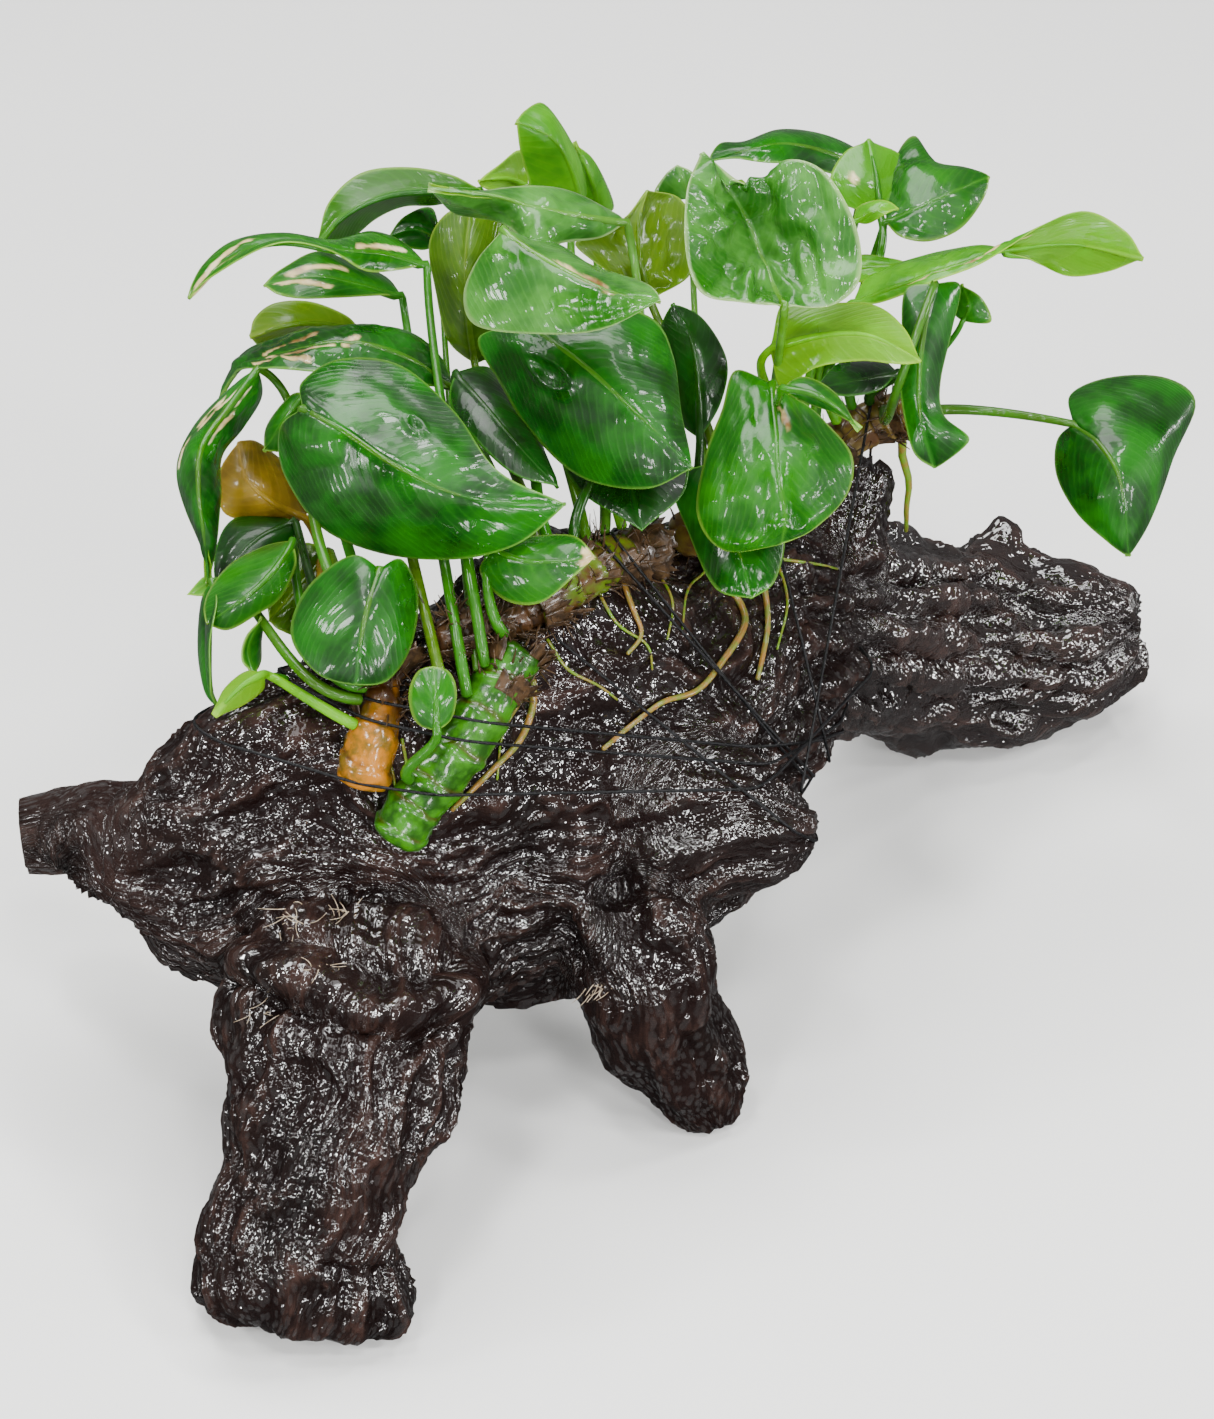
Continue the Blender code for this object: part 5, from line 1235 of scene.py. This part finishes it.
# Each turn's three places on the wood, the numbers of the limbs and the stems that it goes round, and its node
Turn = namedtuple("Turn", "name places limbs stems node")
FRONT = (0, 1), ("rhizome_front", "rhizome_ridge", "rhizome_old")
NECK = (0, 5, 6), ("rhizome_right",)
TURNS = (
    Turn("thread_low_turn", ((-34, -12), (31, -13), (-48, 2, 40)), *FRONT, "thread_low"),
    Turn("thread_mid_turn", ((-27.5, -3), (30, -7), (-44, 9, 38)), *FRONT, "thread_mid"),
    Turn("thread_middle_turn", ((-40, 2), (29, -6), (-50, 8, 40)), *FRONT, None),
    Turn("thread_nose_turn", ((-14, 18), (38, -24), (-20, 26, 40)), *FRONT, None),
    Turn("thread_ridge_turn", ((3.5, 29), (31, -2), (-1, 35, 20)), *FRONT, None),
    Turn("thread_ridge_second_turn", ((6.5, 29), (32, -4), (2, 36, 20)), *FRONT, None),
    Turn("thread_neck_turn", ((34, 33), (43, -4), (36, 20, -40)), *NECK, "thread_neck"),
    Turn("thread_right_turn", ((51, 50, 5), (42, -3), (50, 20, -60)), *NECK, None),
)
# Half the slice of wood that a turn is pulled round and the step between its points in mm, the points in a ring,
# and how often a turn is laid back on the wood
SLICE, THREAD_STEP, THREAD_SIDES, LAYING_ROUNDS = 0.9, 1.4, 8, 4


class ThreadSettings(bpy.types.PropertyGroup):
    radius: bpy.props.FloatProperty(name="Thread radius", description="Half the thread's thickness",
                                    default=0.0003, unit="LENGTH", precision=5)
    colour: bpy.props.StringProperty(name="Thread", description="sRGB hex colour of the thread",
                                     default="#1c1c1e")


def taut_loop(turn, radius):
    """A thread pulled tight round the wood: the hull of a flat section, laid back on the wood where they cross."""
    first, second, third = (seen(*spot) if len(spot) == 3 else on_wood(*spot, 0.0) for spot in turn.places)
    normal = (second - first).cross(third - first).normalized()
    level = (second - first).normalized()
    rise = normal.cross(level)
    cloud = np.concatenate([wood["points"][np.isin(wood["limb"], turn.limbs)]] + [
        np.array([tuple(v.co / MM) for v in bpy.data.objects[name + "_skin"].data.vertices]) for name in turn.stems])
    cloud = cloud - np.array(first)
    cloud = cloud[np.abs(cloud @ np.array(normal)) < SLICE]
    flat = [Vector(spot) for spot in np.stack((cloud @ np.array(level), cloud @ np.array(rise)), 1).tolist()]
    hull = [flat[i] for i in convex_hull_2d(flat)]
    loop = []
    for a, b in zip(hull, hull[1:] + hull[:1]):
        steps = max(1, int((b - a).length / THREAD_STEP))
        loop += [a.lerp(b, k / steps) for k in range(steps)]
    spots = [first + level * spot.x + rise * spot.y for spot in loop]
    for _ in range(LAYING_ROUNDS):
        moved = []
        for spot in spots:
            place, out, _, apart = wood["skin"].find_nearest(spot)
            sunk = (spot - place).dot(out) < 0.0 or apart < radius
            moved.append(place + out * radius if sunk else spot)
        spots = [(a + b * 2 + c) / 4 for a, b, c in zip(moved[-1:] + moved, moved, moved[1:] + moved[:1])]
    return spots


class AQUA_OT_thread(bpy.types.Operator):
    """The black thread that ties the plant down, wound round the wood several times and pulled tight"""

    bl_idname = "aqua.thread"
    bl_label = "Tie thread"

    def execute(self, context):
        settings = context.scene.aqua_thread
        finish = thread_finish("braided_nylon", settings.colour)
        radius = settings.radius / MM
        for turn in TURNS:
            spots = taut_loop(turn, radius)
            verts, _, _ = tube(spots + spots[:2], radius, THREAD_SIDES)
            # the tube's first cap goes, and its last cap with the two rings that repeat the first two
            verts = verts[THREAD_SIDES:-3 * THREAD_SIDES]
            faces = ring_faces(len(verts) // THREAD_SIDES, THREAD_SIDES, closed=True)
            make_piece(turn.name, verts, faces, finish, (turn.node,) if turn.node else ())
        return {"FINISHED"}


# Stage

# Lamps: place and size in metres, and share of the power; the small ones glint on everything wet
LAMPS = (((-0.15, 0.30, 0.85), 0.60, 1.30), ((-0.34, -0.58, 0.72), 0.13, 0.34), ((0.10, -0.42, 0.88), 0.13, 0.34),
         ((0.55, -0.35, 0.70), 0.13, 0.32), ((-0.66, -0.05, 0.62), 0.13, 0.32), ((0.34, 0.12, 0.90), 0.13, 0.34),
         ((0.10, -0.88, 0.30), 0.13, 0.34), ((-0.40, -0.80, 0.26), 0.13, 0.34), ((0.52, -0.74, 0.28), 0.13, 0.34),
         ((-0.16, -0.12, 0.97), 0.13, 0.34), ((0.30, -0.68, 0.58), 0.13, 0.34), ((0.90, -0.22, 0.16), 0.12, 0.27),
         ((0.82, 0.30, 0.24), 0.12, 0.27), ((0.84, -0.44, 0.34), 0.12, 0.27), ((-0.80, -0.44, 0.14), 0.12, 0.27))
LAMPS_AIM = Vector((0.0, 0.0, 0.06))
FLOOR_REACH, WORLD_STRENGTH, SENSOR = 4.0, 0.22, 36.0


class StageSettings(bpy.types.PropertyGroup):
    floor: bpy.props.StringProperty(name="Floor", description="sRGB hex colour of the floor", default="#f4f4f2")
    power: bpy.props.FloatProperty(name="Lamp power", description="Power of one share of light", default=6.8,
                                   unit="POWER")


class AQUA_OT_stage(bpy.types.Operator):
    """A pale floor, soft studio light and a camera at the photograph's viewing angle"""

    bl_idname = "aqua.stage"
    bl_label = "Stage"

    def execute(self, context):
        settings = context.scene.aqua_stage
        self.floor(context, settings.floor)
        for place, size, share in LAMPS:
            self.lamp(context, place, size, settings.power * share)
        world = bpy.data.worlds.new("studio")
        world.use_nodes = True
        feed(world.node_tree.nodes["Background"], Color=(1.0, 1.0, 1.0, 1.0), Strength=WORLD_STRENGTH)
        context.scene.world = world
        self.camera(context)
        return {"FINISHED"}

    def floor(self, context, colour):
        """A sheet of pale matt paper."""
        finish, shader, add = new_finish("paper_floor")
        tooth = add("TexNoise", None, add("TexCoord", output="Object"), Scale=900.0, Detail=2.0)
        feed(shader, Base_Color=linear(colour), Roughness=0.85,
             Normal=add("Bump", None, Height=tooth, Strength=0.05, Distance=0.0003))
        mesh = bpy.data.meshes.new("floor")
        corners = [(x * FLOOR_REACH, y * FLOOR_REACH, 0.0) for x, y in ((-1, -1), (1, -1), (1, 1), (-1, 1))]
        mesh.from_pydata(corners, [], [(0, 1, 2, 3)])
        mesh.materials.append(finish)
        floor = bpy.data.objects.new("floor", mesh)
        context.collection.objects.link(floor)
        # the wet skins don't mirror the paper, so that they stay as dark as over a dark bench
        floor.visible_glossy = False

    def lamp(self, context, place, size, power):
        """A soft oblong lamp turned to the plant."""
        data = bpy.data.lights.new("lamp", "AREA")
        data.shape = "RECTANGLE"
        data.size, data.size_y, data.energy = size, size * 0.8, power
        made = bpy.data.objects.new("lamp", data)
        made.location = place
        made.rotation_euler = (LAMPS_AIM - Vector(place)).to_track_quat("-Z", "Y").to_euler()
        context.collection.objects.link(made)

    def camera(self, context):
        """The onlooker's camera: the photo's long side fills its sensor."""
        data = bpy.data.cameras.new("camera")
        data.sensor_fit, data.sensor_width = "AUTO", SENSOR
        data.lens = SENSOR * EYE_DISTANCE / (max(PHOTO_SIZE) / PHOTO_PIXELS_PER_MM)
        data.clip_start, data.clip_end = 0.01, 20.0
        made = bpy.data.objects.new("camera", data)
        made.matrix_world = Matrix.Translation(EYE * MM) @ Matrix((RIGHT, UP, NEAR)).transposed().to_4x4()
        context.collection.objects.link(made)
        context.scene.camera = made


# Each operator, with the name and class of its settings
STEPS = (
    ("aqua_wood", WoodSettings, AQUA_OT_driftwood),
    ("aqua_rhizome", RhizomeSettings, AQUA_OT_rhizomes),
    ("aqua_leaf", LeafSettings, AQUA_OT_leaves),
    ("aqua_root", RootSettings, AQUA_OT_roots),
    ("aqua_thread", ThreadSettings, AQUA_OT_thread),
    ("aqua_stage", StageSettings, AQUA_OT_stage),
)


class AQUA_PT_plant(bpy.types.Panel):
    """The settings and steps of the plant on its wood"""

    bl_idname = "AQUA_PT_plant"
    bl_label = "Anubias on driftwood"
    bl_space_type = "VIEW_3D"
    bl_region_type = "UI"
    bl_category = "Anubias"

    def draw(self, context):
        for name, group, operator in STEPS:
            box = self.layout.box()
            for setting in group.__annotations__:
                box.prop(getattr(context.scene, name), setting)
            box.operator(operator.bl_idname)


def register():
    for name, group, operator in STEPS:
        bpy.utils.register_class(group)
        setattr(bpy.types.Scene, name, bpy.props.PointerProperty(type=group))
        bpy.utils.register_class(operator)
    bpy.utils.register_class(AQUA_PT_plant)


def unregister():
    bpy.utils.unregister_class(AQUA_PT_plant)
    for name, group, operator in STEPS:
        bpy.utils.unregister_class(operator)
        delattr(bpy.types.Scene, name)
        bpy.utils.unregister_class(group)


def main():
    """Makes the stage and the plant."""
    register()
    bpy.ops.aqua.stage()
    bpy.ops.aqua.driftwood()
    bpy.ops.aqua.rhizomes()
    bpy.ops.aqua.leaves()
    bpy.ops.aqua.roots()
    bpy.ops.aqua.thread()


if __name__ == "__main__":
    main()
